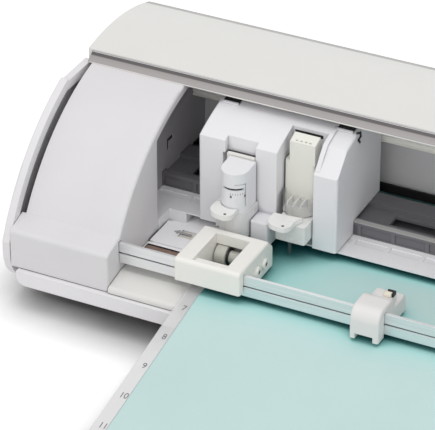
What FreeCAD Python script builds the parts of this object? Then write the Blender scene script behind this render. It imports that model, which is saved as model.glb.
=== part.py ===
import FreeCAD, Part
import math
import os

# A desktop electronic cutting machine: two towers, a sliding lid between them, a tool carriage on a rail,
# and a mat that a feed roller draws across the platform.
# Millimetres. X runs to the machine's right, Y to its back and Z up from the table.

# Overall size
machine_width = 570.0
front_y = -98.0
rear_y = 98.0
foot_height = 8.0
foot_radius = 11.0
foot_inset = 45.0
foot_front_y = -62.0
foot_rear_y = 78.0

# Walls and clearances
wall = 2.5
plate_wall = 3.0
fit_gap = 0.3
slide_gap = 0.35
running_gap = 0.05
edge_round = 1.5

# Lid axis and the radii of everything that is concentric with it
ledge_y = -78.52
ledge_z = 57.32
ledge_angle = 57.5
tower_radius = 134.6
leaf_thickness = 1.4
leaf_gap = 0.3
slot_depth = 5.6
rim_rise = 7.7
plate_drop = 8.6
carriage_drop = 6.1

# Top cover, whose outer face is flatter than the lid's path
cover_rise = 7.7
cover_shift_y = 7.0
cover_shift_z = -5.6
cover_front_angle = 9.3
cover_rear_y = 92.0

# Sliding lid
leaf_angle = 30.0
leaf_front_angle = 9.6
rail_front_angle = 12.2
runner_angle = 12.0

# Side panels, tracks and towers, as distances from the middle
panel_thickness = 5.5
slot_width = 3.0
tower_width = 62.5
panel_skin = 2.5
panel_rim = 6.0
panel_front_y = -94.5
panel_corner = 25.0
panel_bottom = 11.3
panel_notch = 1.56
panel_shelf_y = -18.0
chin_y = -94.0
chin_bottom = 28.4
crease_z = 53.0
crease_round = 3.0
tower_rear_angle = 18.0
inner_wall_rear_y = -30.0

# Base tray
base_floor = 3.0
base_front_y = -80.0
base_corner = 18.0

# Frame plates
plate_gap = 13.5
plate_front_y = -82.0
plate_rear_y = 74.0
plate_front_angle = 54.0
plate_rear_angle = -14.0
plate_bottom = 11.0
hook_slot = 8.0
hook_stem = 2.5
hook_y = 14.0
hook_z = 63.0
hook_height = 8.0

# Platform, mat path and paper guide
platform_top = 35.0
platform_wall = 3.0
platform_front_y = -95.0
platform_rear_y = 90.0
platform_side_gap = 0.3
slope_start_y = -78.0
slope_angle = 10.6
nose_radius = 3.0
strip_y = -28.0
strip_width = 8.0
strip_depth = 1.2
strip_end_gap = 14.0
rib_count = 7
rib_height = 4.0
home_pad_width = 30.0
home_pad_height = 0.9
home_pad_front_y = -43.0
home_pad_rear_y = -18.8
home_pad_gap = 0.9
home_pad_groove = 2.0
guide_front_y = -15.0
guide_rear_y = 7.0
guide_bottom = 38.8
guide_top = 42.5
guide_lip = 0.9
guide_lip_reach = 6.0
guide_leg_width = 11.4
guide_leg_depth = 8.0
guide_pocket_count = 21
guide_pocket_rib = 2.6
guide_pocket_front_y = -2.2
guide_pocket_rear_y = 3.2
guide_pocket_depth = 0.5

# Cutting mat
mat_half_width = 168.3
mat_face_half_width = 159.2
mat_lift = 0.5
mat_thickness = 1.0
mat_face_thickness = 0.3
mat_front_y = -244.0
mat_rear_y = 92.0
mat_face_margin = 14.0
mat_bend_radius = 60.0

# Carriage rail
rail_rear_y = 43.5
rail_bottom = 38.8
rail_top = 52.0
rail_wall = 3.0
rail_lip = 4.5
rail_channel_rear_y = 31.0
rail_channel_depth = 2.5
rail_floor = 2.0
rail_window_count = 7
rail_window_length = 34.0
rail_window_width = 10.0
rail_panel_drop = 2.8
rail_panel_foot = 0.8
rail_panel_depth = 0.8

# Roller bar
bar_front_y = -79.5
bar_bottom = 41.0
bar_height = 13.5
bar_depth = 13.5
bar_land = 2.0
bar_groove_depth = 1.6
bar_groove_width = 0.9

# Feed roller, its gear pair and motor
feed_y = -49.5
feed_radius = 8.0
feed_end_gap = 2.0
feed_shaft_radius = 4.0
feed_slot_gap = 0.8
mat_gap = 0.3
bush_radius = 7.0
bush_flange_radius = 8.2
bush_flange = 1.5
gear_module = 0.8
gear_teeth = 30
pinion_teeth = 12
gear_width = 6.0
gear_backlash = 0.16
gear_offset = 2.5
motor_radius = 17.5
motor_face_gap = 2.0
motor_end_gap = 4.5
motor_shaft_radius = 1.5
motor_post_radius = 2.5
motor_post_circle = 14.5

# Pinch roller units
unit_inset = 35.4
unit_width = 42.3
unit_front_y = -85.0
unit_top_rear_y = -45.5
unit_rear_y = -40.5
unit_rear_z = 53.5
unit_front_bottom = 43.4
unit_rear_bottom = 39.3
unit_top = 58.5
unit_round = 2.5
window_inner = 9.8
window_outer = 10.7
window_front_y = -82.0
window_rear_y = -50.5
window_wall = 1.3
pinch_radius = 7.0
pinch_width = 7.0
pinch_side_gap = 0.7
pinch_hub_radius = 4.0
pinch_shaft_radius = 2.5
pinch_pocket_gap = 0.7
boss_radius = 3.4
boss_hole_radius = 1.6
boss_height = 1.6
boss_pitch = 9.6
boss_y = -51.3
boss_z = 46.6

# Middle support roller
saddle_x = -53.3
saddle_width = 18.0
saddle_front_y = -88.0
saddle_bottom = 38.8
saddle_top = 58.5
saddle_round = 8.0
saddle_block_rear_y = -47.5
saddle_block_top = 55.5
saddle_wheel_radius = 5.0
saddle_wheel_width = 9.0
saddle_wheel_shaft = 1.6
saddle_notch_width = 11.0
saddle_notch_height = 3.5

# Tool carriage
carriage_home_gap = 22.0
carriage_front_y = -18.6
carriage_rear_y = 45.0
carriage_front_bottom = 43.2
carriage_step_y = 6.6
column_widths = (16.0, 21.3, 13.8, 23.6, 15.3)
bay_depth = 22.0
dent_depth = 4.0
dent_low = 7.8
dent_high = 4.7
shoulder_drop = 8.2
shoulder_reach = 21.0
foot_box_y = -31.5
foot_box_top = 59.5
foot_box_gap = 0.6
frame_margin = 1.2
frame_drop = 5.8
slider_width = 8.0
slider_length = 16.0
slider_height = 4.0
clamp_width = 16.0
clamp_rise = 1.5
clamp_height = 7.0
top_pad_width = 10.0
top_pad_front_y = 8.0
top_pad_rear_y = 13.0
top_pad_height = 1.2

# Blade housing and its holder
blade_inset = 29.7
blade_y = -29.4
blade_radius = 8.6
blade_drop = 8.2
blade_bottom = 46.0
blade_tip_z = 40.2
blade_tip_radius = 0.6
blade_back = 9.6
blade_slant = 1.5
blade_seam_drop = 8.4
blade_seam_start = 3.0
blade_edge = 7.7
blade_edge_width = 0.3
blade_edge_foot = 4.0
blade_window_drop = 12.0
blade_window_height = 1.4
blade_window_left = 4.2
blade_window_right = 7.3
groove_depth = 0.5
cup_radius = 9.6
cup_bottom = 49.0
cup_top = 66.0
cup_gap = 0.15
arm_gap = 0.6
arm_rear_gap = 1.0
arm_drop = 11.8

# Square tool and its holder
tool_inset = 63.0
tool_width = 16.4
tool_front_y = -9.0
tool_depth = 7.5
tool_rise = 7.2
tool_bevel = 2.5
tool_shoulder_drop = 8.6
tool_body_left = 11.3
tool_body_right = 7.9
tool_body_depth = 10.0
tool_body_round = 1.5
tool_spigot_half = 7.0
tool_bottom = 52.0
tool_tip_z = 40.4
tool_tip_radius = 1.2
tool_tip_y = -25.0
tool_foot_width = 10.0
tool_foot_height = 8.0
contact_count = 4
contact_pitch = 2.9
contact_width = 1.5
contact_setback = 1.7
contact_depth = 0.8
tray_left = 8.2
tray_front_y = -28.5
tray_round = 1.5
tray_bottom = 50.0
tray_top = 62.0
tray_lip_top = 74.0
tray_lip_radius = 11.0
tray_lip_wall = 1.3

# Tool latches
latch_thickness = 3.2
latch_root = ((7.4, -3.0), (-10.4, -4.5))
latch_right = ((5.2, -8.0), (5.2, -13.0))
latch_tip = ((3.2, -17.2), (-2.5, -18.2))
latch_left = ((-8.6, -15.8), (-10.8, -10.0))
latch_pip = (0.6, -15.8)
latch_pip_radius = 0.9
latch_setback = 11.5

# Carriage belt drive
belt_y = 54.0
belt_z = 42.0
belt_width = 6.0
belt_thickness = 1.2
pulley_radius = 6.0
pulley_offset = 15.0
pulley_flange_radius = 8.0
pulley_flange = 1.0
pulley_shaft_radius = 2.0
bracket_thickness = 2.5
bracket_half_width = 17.0
carriage_motor_length = 34.0
carriage_motor_radius = 14.5

# Back panel and rear cover
back_panel_y = 66.0
back_panel_wall = 2.0
back_panel_bottom = 44.0
back_panel_flange = 8.0
back_panel_gap = 3.2
rear_round_drop = 12.6
rear_slot_margin = 11.0
rear_slot_bottom = 33.0
rear_slot_top = 46.0

# Sockets in the rear cover
socket_z = 27.0
data_socket_inset = 41.0
data_socket_width = 13.0
data_socket_height = 12.0
data_opening_width = 9.0
data_opening_height = 8.0
power_socket_inset = 22.0
power_socket_radius = 6.5
power_opening_radius = 4.0
power_pin_radius = 1.2
socket_depth = 14.0
socket_opening_depth = 10.0

# Circuit board and buttons
board_offset = 5.0
board_thickness = 1.6
board_front_y = -20.0
board_rear_y = 30.0
board_bottom = 34.0
board_top = 92.0
board_post_radius = 2.0
board_post_inset = 4.0
chip_width = 18.0
chip_height = 2.0
plug_length = 28.0
plug_width = 8.0
plug_height = 9.0
capacitor_radius = 5.0
capacitor_height = 14.0
button_radius = 4.5
button_gap = 0.4
button_flange_gap = 0.65
button_flange = 1.5
button_travel = 1.2
button_proud = 1.4
button_length = 7.0
button_z = 41.0
button_inset = 11.0
button_end_inset = 11.6
button_board_half_height = 7.5
switch_gap = 0.3
switch_radius = 1.8
switch_height = 1.0
button_post_radius = 1.0

# Roll feed drawer
drawer_end_inset = 11.0
drawer_strip_bottom = 19.0
drawer_strip_top = 28.0
drawer_strip_depth = 9.5
drawer_end_round = 6.0
drawer_side_gap = 0.8
drawer_tray_front_y = -86.0
drawer_tray_rear_y = 20.0
drawer_tray_top = 18.6
drawer_wall = 2.2

# Places that follow from the sizes above
half_width = machine_width / 2
foot_x = half_width - foot_inset
panel_in = half_width - panel_thickness
tower_out = panel_in - slot_width
tower_in = tower_out - tower_width
plate_in = tower_in + wall + plate_gap
plate_out = plate_in + plate_wall
base_top = foot_height + base_floor
track_y = ledge_y + tower_radius * math.sin(math.radians(ledge_angle))
track_z = ledge_z - tower_radius * math.cos(math.radians(ledge_angle))
rim_radius = tower_radius + rim_rise
plate_radius = tower_radius - plate_drop
carriage_radius = tower_radius - carriage_drop
rear_leaf_inner = tower_radius + leaf_gap
rear_leaf_outer = rear_leaf_inner + leaf_thickness
front_leaf_inner = rear_leaf_outer + leaf_gap
front_leaf_outer = front_leaf_inner + leaf_thickness
lip_radius = front_leaf_outer + leaf_gap
slot_radius = tower_radius - slot_depth
cover_radius = lip_radius + cover_rise
cover_y = track_y + cover_shift_y
cover_z = track_z + cover_shift_z
cover_front_y = track_y - lip_radius * math.sin(math.radians(cover_front_angle))
cover_rear_z = cover_z + math.sqrt(cover_radius ** 2 - (cover_rear_y - cover_y) ** 2)
rear_round_z = cover_rear_z - rear_round_drop
panel_shelf_z = track_z + math.sqrt(rim_radius ** 2 - (track_y - panel_shelf_y) ** 2) - panel_notch
back_flange_y = back_panel_y + back_panel_flange
back_panel_room = math.sqrt((tower_radius - wall) ** 2 - (back_flange_y - track_y) ** 2)
back_panel_top = track_z + back_panel_room - back_panel_gap
rear_slot_half_width = mat_half_width + rear_slot_margin
strip_half_length = tower_in - strip_end_gap
feed_half_length = tower_in - feed_end_gap
unit_inner_x = mat_half_width - unit_inset
carriage_left_x = carriage_home_gap - tower_in
blade_x = carriage_left_x + blade_inset
tool_x = carriage_left_x + tool_inset
carriage_rear_bottom = rail_top + fit_gap
carriage_top = track_z + math.sqrt(carriage_radius ** 2 - (track_y - carriage_front_y) ** 2)
dent_bottom = carriage_top - dent_low
dent_top = carriage_top + dent_high
frame_top = carriage_top - frame_drop
blade_top = carriage_top - blade_drop
arm_top = carriage_top - arm_drop
tool_top = carriage_top + tool_rise
tool_shoulder_z = carriage_top - tool_shoulder_drop
lip_y = tool_front_y - cup_gap
pulley_x = plate_out + pulley_offset
data_socket_x = half_width - data_socket_inset
power_socket_x = half_width - power_socket_inset
button_first_x = tower_in + button_inset
button_pitch = (tower_width - button_inset - button_end_inset) / 3
button_flange_radius = button_pitch / 2 - button_flange_gap
drawer_half_width = half_width - drawer_end_inset
mat_bottom = platform_top + mat_lift
mat_top = mat_bottom + mat_thickness
mat_face_top = mat_top + mat_face_thickness
feed_z = mat_bottom - mat_gap - feed_radius
gear_center = gear_module * (gear_teeth + pinion_teeth) / 2
gear_x = -plate_out - gear_offset
bar_top = bar_bottom + bar_height
bar_rear_y = bar_front_y + bar_depth
pinch_z = mat_face_top + mat_gap + pinch_radius
saddle_wheel_z = mat_face_top + mat_gap + saddle_wheel_radius
belt_inner = pulley_radius + fit_gap
tray_half_width = plate_in - drawer_side_gap
middle_y = (rear_y + mat_front_y) / 2


def box(x0, x1, y0, y1, z0, z1):
    """Block between two opposite corners."""
    return Part.makeBox(x1 - x0, y1 - y0, z1 - z0, FreeCAD.Vector(x0, y0, z0))


def rod_x(y, z, radius, x0, x1):
    """Cylinder along X."""
    return Part.makeCylinder(radius, x1 - x0, FreeCAD.Vector(x0, y, z), FreeCAD.Vector(1, 0, 0))


def rod_y(x, z, radius, y0, y1):
    """Cylinder along Y."""
    return Part.makeCylinder(radius, y1 - y0, FreeCAD.Vector(x, y0, z), FreeCAD.Vector(0, 1, 0))


def rod_z(x, y, radius, z0, z1):
    """Cylinder along Z."""
    return Part.makeCylinder(radius, z1 - z0, FreeCAD.Vector(x, y, z0), FreeCAD.Vector(0, 0, 1))


def mirrored(shape):
    """The same piece on the other side of the machine."""
    return shape.mirror(FreeCAD.Vector(0, 0, 0), FreeCAD.Vector(1, 0, 0))


def outline(start, *steps):
    """Closed path of 3-D points: a step is a corner, or the middle and the end of an arc."""
    edges = []
    here = start
    for step in steps + (start,):
        if isinstance(step, tuple):
            edges.append(Part.Arc(here, step[0], step[1]).toShape())
            here = step[1]
        elif here.distanceToPoint(step) > 1e-6:
            edges.append(Part.LineSegment(here, step).toShape())
            here = step
    return Part.Wire(edges)


def side(y, z):
    """Point of a side profile."""
    return FreeCAD.Vector(0, y, z)


def on_track(radius, angle):
    """Point at a radius from the lid axis, an angle in degrees forward of its top."""
    turn = math.radians(angle)
    return side(track_y - radius * math.sin(turn), track_z + radius * math.cos(turn))


def track_arc(radius, start_angle, end_angle):
    """Arc step about the lid axis."""
    return (on_track(radius, (start_angle + end_angle) / 2), on_track(radius, end_angle))


def track_angle(radius, y):
    """Angle forward of the top where a circle about the lid axis reaches a depth."""
    return math.degrees(math.asin((track_y - y) / radius))


def across(wire, x0, x1):
    """Side profile extruded along X."""
    face = Part.Face(wire)
    face.translate(FreeCAD.Vector(x0, 0, 0))
    return face.extrude(FreeCAD.Vector(x1 - x0, 0, 0))


def upward(wire, z0, z1):
    """Plan outline extruded along Z."""
    face = Part.Face(wire)
    face.translate(FreeCAD.Vector(0, 0, z0))
    return face.extrude(FreeCAD.Vector(0, 0, z1 - z0))


def shell_about_track(inner, outer, front_angle, rear_angle, x0, x1):
    """Curved sheet about the lid axis."""
    wire = outline(
        on_track(inner, front_angle),
        on_track(outer, front_angle),
        track_arc(outer, front_angle, rear_angle),
        on_track(inner, rear_angle),
        track_arc(inner, rear_angle, front_angle),
    )
    return across(wire, x0, x1)


def rounded(shape, radius, wanted):
    """Round the edges whose middle passes a test."""
    edges = [edge for edge in shape.Edges if wanted(edge.CenterOfMass, edge.BoundBox)]
    return shape.makeFillet(radius, edges)


def flat_in_x(size, x):
    """An edge that lies in one plane square to X."""
    return abs(size.XMin - x) < 1e-4 and abs(size.XMax - x) < 1e-4


def rounded_block(x0, x1, y0, y1, z0, z1, radius):
    """Block with its upright edges rounded."""
    block = box(x0, x1, y0, y1, z0, z1)
    return rounded(block, radius, lambda mid, size: size.ZLength > (z1 - z0) * 0.9)


# Casing


def base_tray():
    """Shallow floor pan with an upstand along each end that carries a tower."""
    width = panel_in - fit_gap
    floor = rounded_block(-width, width, base_front_y, rear_y - fit_gap, foot_height, base_top, base_corner)
    pieces = []
    for sign in (-1, 1):
        x0, x1 = sorted((sign * (tower_out - wall), sign * tower_out))
        pieces.append(box(x0, x1, base_front_y + base_corner, rear_y - 4 * wall, base_top, chin_bottom))
    return floor.fuse(pieces).removeSplitter()


def rubber_feet():
    """Four tapered rubber feet."""
    feet = []
    for x in (-foot_x, foot_x):
        for y in (foot_front_y, foot_rear_y):
            foot = Part.makeCone(foot_radius, foot_radius * 0.85, foot_height, FreeCAD.Vector(x, y, 0))
            feet.append(foot)
    return Part.makeCompound(feet)


def panel_outline(inset):
    """Side panel profile: rounded lower front corner, a shelf before the top cover and a step under it."""
    radius = rim_radius - inset
    front = panel_front_y + inset
    bottom = panel_bottom + inset
    corner = panel_corner - inset
    shelf = panel_shelf_z - inset
    step_y = cover_front_y - fit_gap - inset
    low_shelf = rear_round_z - inset
    rear = rear_y - inset
    front_angle = track_angle(radius, front)
    shelf_angle = track_angle(radius, panel_shelf_y)
    middle = corner * (1 - math.sqrt(0.5))
    return outline(
        side(rear, bottom),
        side(front + corner, bottom),
        (side(front + middle, bottom + middle), side(front, bottom + corner)),
        on_track(radius, front_angle),
        track_arc(radius, front_angle, shelf_angle),
        side(panel_shelf_y, shelf),
        side(step_y, shelf),
        side(step_y, low_shelf),
        side(rear, low_shelf),
    )


def side_panel():
    """Right end cap: a thin outer skin with a deep rim all round its edge."""
    panel = across(panel_outline(0), panel_in, half_width)
    panel = rounded(panel, edge_round, lambda mid, size: flat_in_x(size, half_width))
    hollow = across(panel_outline(panel_rim), panel_in - 1, half_width - panel_skin)
    return panel.cut(hollow)


def lid_track():
    """Right dark web between the side panel and the tower; its round edge is the floor of the lid's slot."""
    front = ledge_y + fit_gap
    front_angle = track_angle(slot_radius, front)
    wire = outline(
        side(front, panel_bottom),
        on_track(slot_radius, front_angle),
        track_arc(slot_radius, front_angle, -tower_rear_angle),
        side(on_track(slot_radius, -tower_rear_angle).y, panel_bottom),
    )
    return across(wire, tower_out, panel_in)


def tower_outline(inset, bottom, extra_angle):
    """Side profile of a tower: upright chin, sloping ledge and the arc that the lid runs over."""
    radius = tower_radius - inset
    rear_angle = -tower_rear_angle - extra_angle
    rear = on_track(radius, rear_angle)
    return outline(
        side(chin_y + inset, bottom),
        side(chin_y + inset, crease_z - inset),
        on_track(radius, ledge_angle),
        track_arc(radius, ledge_angle, rear_angle),
        side(rear.y, bottom),
    )


def chin_outline():
    """Profile of the chin's lug, which closes the front end of the lid's slot."""
    return outline(
        side(chin_y, chin_bottom),
        side(chin_y, crease_z),
        on_track(tower_radius, ledge_angle),
        side(ledge_y, chin_bottom),
    )


def bar_outline(gap):
    """Section of the roller bar with its sloping back, grown by a gap."""
    return outline(
        side(bar_front_y - gap, bar_bottom - gap),
        side(bar_front_y - gap, bar_top + gap),
        side(bar_front_y + bar_land + gap / 2, bar_top + gap),
        side(bar_rear_y + gap, bar_bottom + bar_land + gap / 2),
        side(bar_rear_y + gap, bar_bottom - gap),
    )


def tower_cover(with_buttons):
    """Right tower shell: curved skin, track wall, and a working-side wall that stops short of the rail."""
    tower = across(tower_outline(0, chin_bottom, 0), tower_in, tower_out)
    lug = across(chin_outline(), tower_out, panel_in - fit_gap)
    tower = tower.fuse(lug).removeSplitter()
    tower = rounded(
        tower, crease_round, lambda mid, size: abs(mid.y - chin_y) + abs(mid.z - crease_z) < 0.1
    )
    tower = rounded(
        tower, edge_round, lambda mid, size: flat_in_x(size, tower_in) and mid.z > chin_bottom + 1
    )
    hollow = across(tower_outline(wall, chin_bottom - 1, 2), tower_in + wall, tower_out - wall)
    mouth = across(tower_outline(2 * wall, chin_bottom - 1, 2), tower_in - 1, tower_in + wall + 1)
    behind = box(tower_in - 1, tower_in + wall + 1, inner_wall_rear_y, rear_y, 0, cover_radius)
    bar_hole = across(bar_outline(slide_gap), tower_in - 1, tower_in + wall + 1)
    shaft_hole = rod_x(feed_y, feed_z, feed_shaft_radius + 1, tower_in - 1, tower_in + wall + 1)
    tower = tower.cut([hollow, mouth.common(behind), bar_hole, shaft_hole])
    if with_buttons:
        radius = button_radius + button_gap
        holes = [rod_y(x, button_z, radius, chin_y - 1, chin_y + wall + 1) for x in button_places()]
        tower = tower.cut(holes)
    return tower


def cover_height(y):
    """Height of the top cover's outer face at a depth."""
    return cover_z + math.sqrt(cover_radius ** 2 - (y - cover_y) ** 2)


def top_cover():
    """Fixed crowned cover over the parked lid: thin at its front lip, thicker behind, with two end walls."""
    half = panel_in + wall
    top_front = side(cover_front_y, cover_height(cover_front_y))
    crest = side(cover_y, cover_z + cover_radius)
    top_rear = side(cover_rear_y, cover_rear_z)
    rear_angle = track_angle(lip_radius, cover_rear_y)
    crown = outline(
        on_track(lip_radius, cover_front_angle),
        top_front,
        (crest, top_rear),
        on_track(lip_radius, rear_angle),
        track_arc(lip_radius, rear_angle, cover_front_angle),
    )
    low = rear_round_z + fit_gap
    end = outline(side(cover_front_y, low), top_front, (crest, top_rear), side(cover_rear_y, low))
    ends = [across(end, -half, -panel_in), across(end, panel_in, half)]
    return across(crown, -half, half).fuse(ends).removeSplitter()


def rear_cover():
    """Upper back wall, from the mat's exit slot to a rounded edge that carries on the top cover's line."""
    end_y = cover_rear_y + fit_gap
    end_z = cover_height(end_y)
    reach = rear_y - end_y
    rise = end_z - rear_round_z
    radius = (reach * reach + rise * rise) / (2 * reach)
    middle_y = rear_y - radius

    def bend(depth, y):
        """Point on the rounded top edge at a depth below its outer face."""
        return side(y, rear_round_z + math.sqrt((radius - depth) ** 2 - (y - middle_y) ** 2))

    halfway = (end_y + rear_y) / 2
    inner_y = rear_y - wall
    wire = outline(
        side(rear_y, rear_slot_top),
        side(rear_y, rear_round_z),
        (bend(0, halfway), bend(0, end_y)),
        bend(wall, end_y),
        (bend(wall, (end_y + inner_y) / 2), side(inner_y, rear_round_z)),
        side(inner_y, rear_slot_top),
    )
    width = panel_in - fit_gap
    return across(wire, -width, width)


def rear_lower_cover():
    """Lower back wall: the mat's exit slot is a notch in its top edge, and it holds the two sockets."""
    width = panel_in - fit_gap
    cover = box(-width, width, rear_y - wall, rear_y, panel_bottom, rear_slot_top)
    y0 = rear_y - 2 * wall
    y1 = rear_y + wall
    half_w = data_socket_width / 2 + fit_gap
    half_h = data_socket_height / 2 + fit_gap
    cuts = [
        box(-rear_slot_half_width, rear_slot_half_width, y0, y1, rear_slot_bottom, rear_slot_top),
        box(data_socket_x - half_w, data_socket_x + half_w, y0, y1, socket_z - half_h, socket_z + half_h),
        rod_y(power_socket_x, socket_z, power_socket_radius + fit_gap, y0, y1),
    ]
    return cover.cut(cuts)


def back_panel():
    """Plain inner wall behind the carriage, with a stiffening flange along its top."""
    front = back_panel_y
    rear = back_panel_y + back_panel_wall
    panel = box(-plate_in, plate_in, front, rear, back_panel_bottom, back_panel_top)
    flange = box(-plate_in, plate_in, front, back_flange_y, back_panel_top - back_panel_wall, back_panel_top)
    return panel.fuse(flange).removeSplitter()


# Frame


def frame_plate(is_left):
    """Right frame plate, which carries the rail, the bar, the feed shaft and the belt ends."""
    front = on_track(plate_radius, plate_front_angle)
    rear = on_track(plate_radius, plate_rear_angle)
    wire = outline(
        side(plate_front_y, chin_bottom),
        side(plate_front_y, crease_z),
        front,
        track_arc(plate_radius, plate_front_angle, plate_rear_angle),
        side(plate_rear_y, rear.z),
        side(plate_rear_y, plate_bottom),
        side(base_front_y + base_corner, plate_bottom),
        side(base_front_y + base_corner, chin_bottom),
    )
    plate = across(wire, plate_in, plate_out)
    x0 = plate_in - 1
    x1 = plate_out + 1
    belt_room = belt_inner + belt_thickness + 2
    cuts = [
        rod_x(feed_y, feed_z, bush_radius, x0, x1),
        box(x0, x1, belt_y - belt_room, belt_y + belt_room, belt_z - 2, belt_z + belt_width + 2),
        box(x0, x1, hook_y, hook_y + hook_slot, hook_z + hook_height - hook_stem, hook_z + hook_height),
        box(x0, x1, hook_y, hook_y + hook_stem, hook_z, hook_z + hook_height),
    ]
    plate = plate.cut(cuts)
    return mirrored(plate) if is_left else plate


def platform_outline():
    """Platform profile: flat bed, gentle slope towards the front and a rounded nose."""
    thick = platform_wall
    nose_y = platform_front_y + nose_radius
    nose_z = platform_top - (slope_start_y - nose_y) * math.tan(math.radians(slope_angle))
    middle = nose_radius * (1 - math.sqrt(0.5))
    return outline(
        side(platform_front_y, chin_bottom),
        side(platform_front_y, nose_z - nose_radius),
        (side(platform_front_y + middle, nose_z - middle), side(nose_y, nose_z)),
        side(slope_start_y, platform_top),
        side(platform_rear_y, platform_top),
        side(platform_rear_y, platform_top - thick),
        side(slope_start_y, platform_top - thick),
        side(nose_y, nose_z - thick),
        side(platform_front_y + thick, chin_bottom),
    )


def platform():
    """Bed under the mat, with a slot for the feed roller, a groove for the strip and ribs below."""
    thick = platform_wall
    narrow = tower_in - platform_side_gap
    bed = across(platform_outline(), -narrow, narrow)
    wide = plate_in - platform_side_gap
    wing_y = inner_wall_rear_y + fit_gap
    wings = box(-wide, wide, wing_y, platform_rear_y, platform_top - thick, platform_top)
    step = 2 * strip_half_length / (rib_count - 1)
    ribs = []
    for index in range(rib_count):
        x = -strip_half_length + index * step
        z0 = platform_top - thick - rib_height
        rib_front = feed_y + feed_radius + 3
        ribs.append(box(x - 1, x + 1, rib_front, platform_rear_y - 20, z0, platform_top - thick))
    pad_x = -narrow + home_pad_gap
    pad_top = platform_top + home_pad_height
    pad = box(pad_x, pad_x + home_pad_width, home_pad_front_y, home_pad_rear_y, platform_top, pad_top)
    bed = bed.fuse([wings, pad] + ribs).removeSplitter()
    end = feed_half_length + feed_slot_gap
    roller_slot = rod_x(feed_y, feed_z, feed_radius + feed_slot_gap, -end, end)
    pad_groove = box(
        -narrow - 1, pad_x, home_pad_front_y, home_pad_rear_y, platform_top - home_pad_groove, pad_top
    )
    half = strip_width / 2
    groove = box(
        -strip_half_length,
        strip_half_length,
        strip_y - half,
        strip_y + half,
        platform_top - strip_depth,
        platform_top + 5,
    )
    return bed.cut([roller_slot, pad_groove, groove])


def cutting_strip():
    """Smooth strip that the blade runs over."""
    half = strip_width / 2 - running_gap
    length = strip_half_length - running_gap
    return box(-length, length, strip_y - half, strip_y + half, platform_top - strip_depth, platform_top)


def pocket_spans():
    """Left and right ends of the pockets that repeat along the guide and the rail."""
    half = plate_in - platform_side_gap
    pitch = 2 * half / guide_pocket_count
    spans = []
    for index in range(guide_pocket_count):
        x0 = -half + index * pitch + guide_pocket_rib / 2
        spans.append((x0, x0 + pitch - guide_pocket_rib))
    return spans


def paper_guide():
    """White ledge over the mat: thin undercut lip, a leg and a cheek at each end, and shallow pockets."""
    half = plate_in - platform_side_gap
    wire = outline(
        side(guide_front_y, guide_top - guide_lip),
        side(guide_front_y, guide_top),
        side(guide_rear_y, guide_top),
        side(guide_rear_y, guide_bottom),
        side(guide_front_y + guide_lip_reach, guide_bottom),
    )
    leg_out = tower_in - platform_side_gap
    leg_in = leg_out - guide_leg_width
    leg_rear = guide_front_y + guide_leg_depth
    cheek_front = inner_wall_rear_y + fit_gap
    ends = [
        box(leg_in, leg_out, guide_front_y, leg_rear, platform_top, guide_top),
        box(leg_out, half, cheek_front, leg_rear, platform_top, guide_top),
    ]
    ends += [mirrored(end) for end in ends]
    guide = across(wire, -half, half).fuse(ends).removeSplitter()
    low = guide_top - guide_pocket_depth
    pockets = []
    for x0, x1 in pocket_spans():
        pockets.append(box(x0, x1, guide_pocket_front_y, guide_pocket_rear_y, low, guide_top + 1))
    return guide.cut(pockets)


def carriage_rail():
    """Hollow beam under the carriage: panelled front, a channel along its top and windows into the hollow."""
    rail = box(-plate_in, plate_in, guide_rear_y, rail_rear_y, rail_bottom, rail_top)
    channel_bottom = rail_top - rail_channel_depth
    channel_front = guide_rear_y + rail_lip
    reach = plate_in + 1
    bore = box(
        -reach,
        reach,
        guide_rear_y + rail_wall,
        rail_rear_y - rail_wall,
        rail_bottom + rail_wall,
        channel_bottom - rail_floor,
    )
    channel = box(-reach, reach, channel_front, rail_channel_rear_y, channel_bottom, rail_top + 1)
    cuts = [bore, channel]
    half = rail_window_length / 2
    y0 = (channel_front + rail_channel_rear_y - rail_window_width) / 2
    y1 = y0 + rail_window_width
    for index in range(rail_window_count):
        x = (index - (rail_window_count - 1) / 2) * 2 * plate_in / rail_window_count
        cuts.append(box(x - half, x + half, y0, y1, channel_bottom - rail_floor - 1, rail_top))
    panel_rear = guide_rear_y + rail_panel_depth
    low = guide_top + rail_panel_foot
    high = rail_top - rail_panel_drop
    for x0, x1 in pocket_spans():
        cuts.append(box(x0, x1, guide_rear_y - 1, panel_rear, low, high))
    return rail.cut(cuts)


def roller_bar():
    """Extruded bar that the pinch roller units hang on, with a narrow groove along its front."""
    middle = bar_bottom + bar_height / 2
    half = bar_groove_width / 2
    groove_rear = bar_front_y + bar_groove_depth
    groove = box(-plate_in - 1, plate_in + 1, bar_front_y - 1, groove_rear, middle - half, middle + half)
    return across(bar_outline(0), -plate_in, plate_in).cut(groove)


# Feed drive


def gear_outline(teeth, phase):
    """Spur gear outline in the YZ plane about the origin, with straight-sided teeth."""
    pitch = gear_module * teeth / 2
    tip = pitch + gear_module
    root = pitch - 1.25 * gear_module
    step = 2 * math.pi / teeth
    tooth = step / 2 - gear_backlash / pitch
    flank = ((root, -0.72), (pitch, -0.5), (tip, -0.24), (tip, 0.24), (pitch, 0.5), (root, 0.72))
    points = []
    for index in range(teeth):
        middle = phase + index * step
        for radius, share in flank:
            turn = middle + share * tooth
            points.append(side(radius * math.cos(turn), radius * math.sin(turn)))
    return outline(*points)


def spur_gear(y, z, teeth, phase, bore, x0, x1):
    """Spur gear on an X axis with a round bore."""
    gear = across(gear_outline(teeth, phase), x0, x1)
    gear.translate(FreeCAD.Vector(0, y, z))
    return gear.cut(rod_x(y, z, bore, x0 - 1, x1 + 1))


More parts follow.
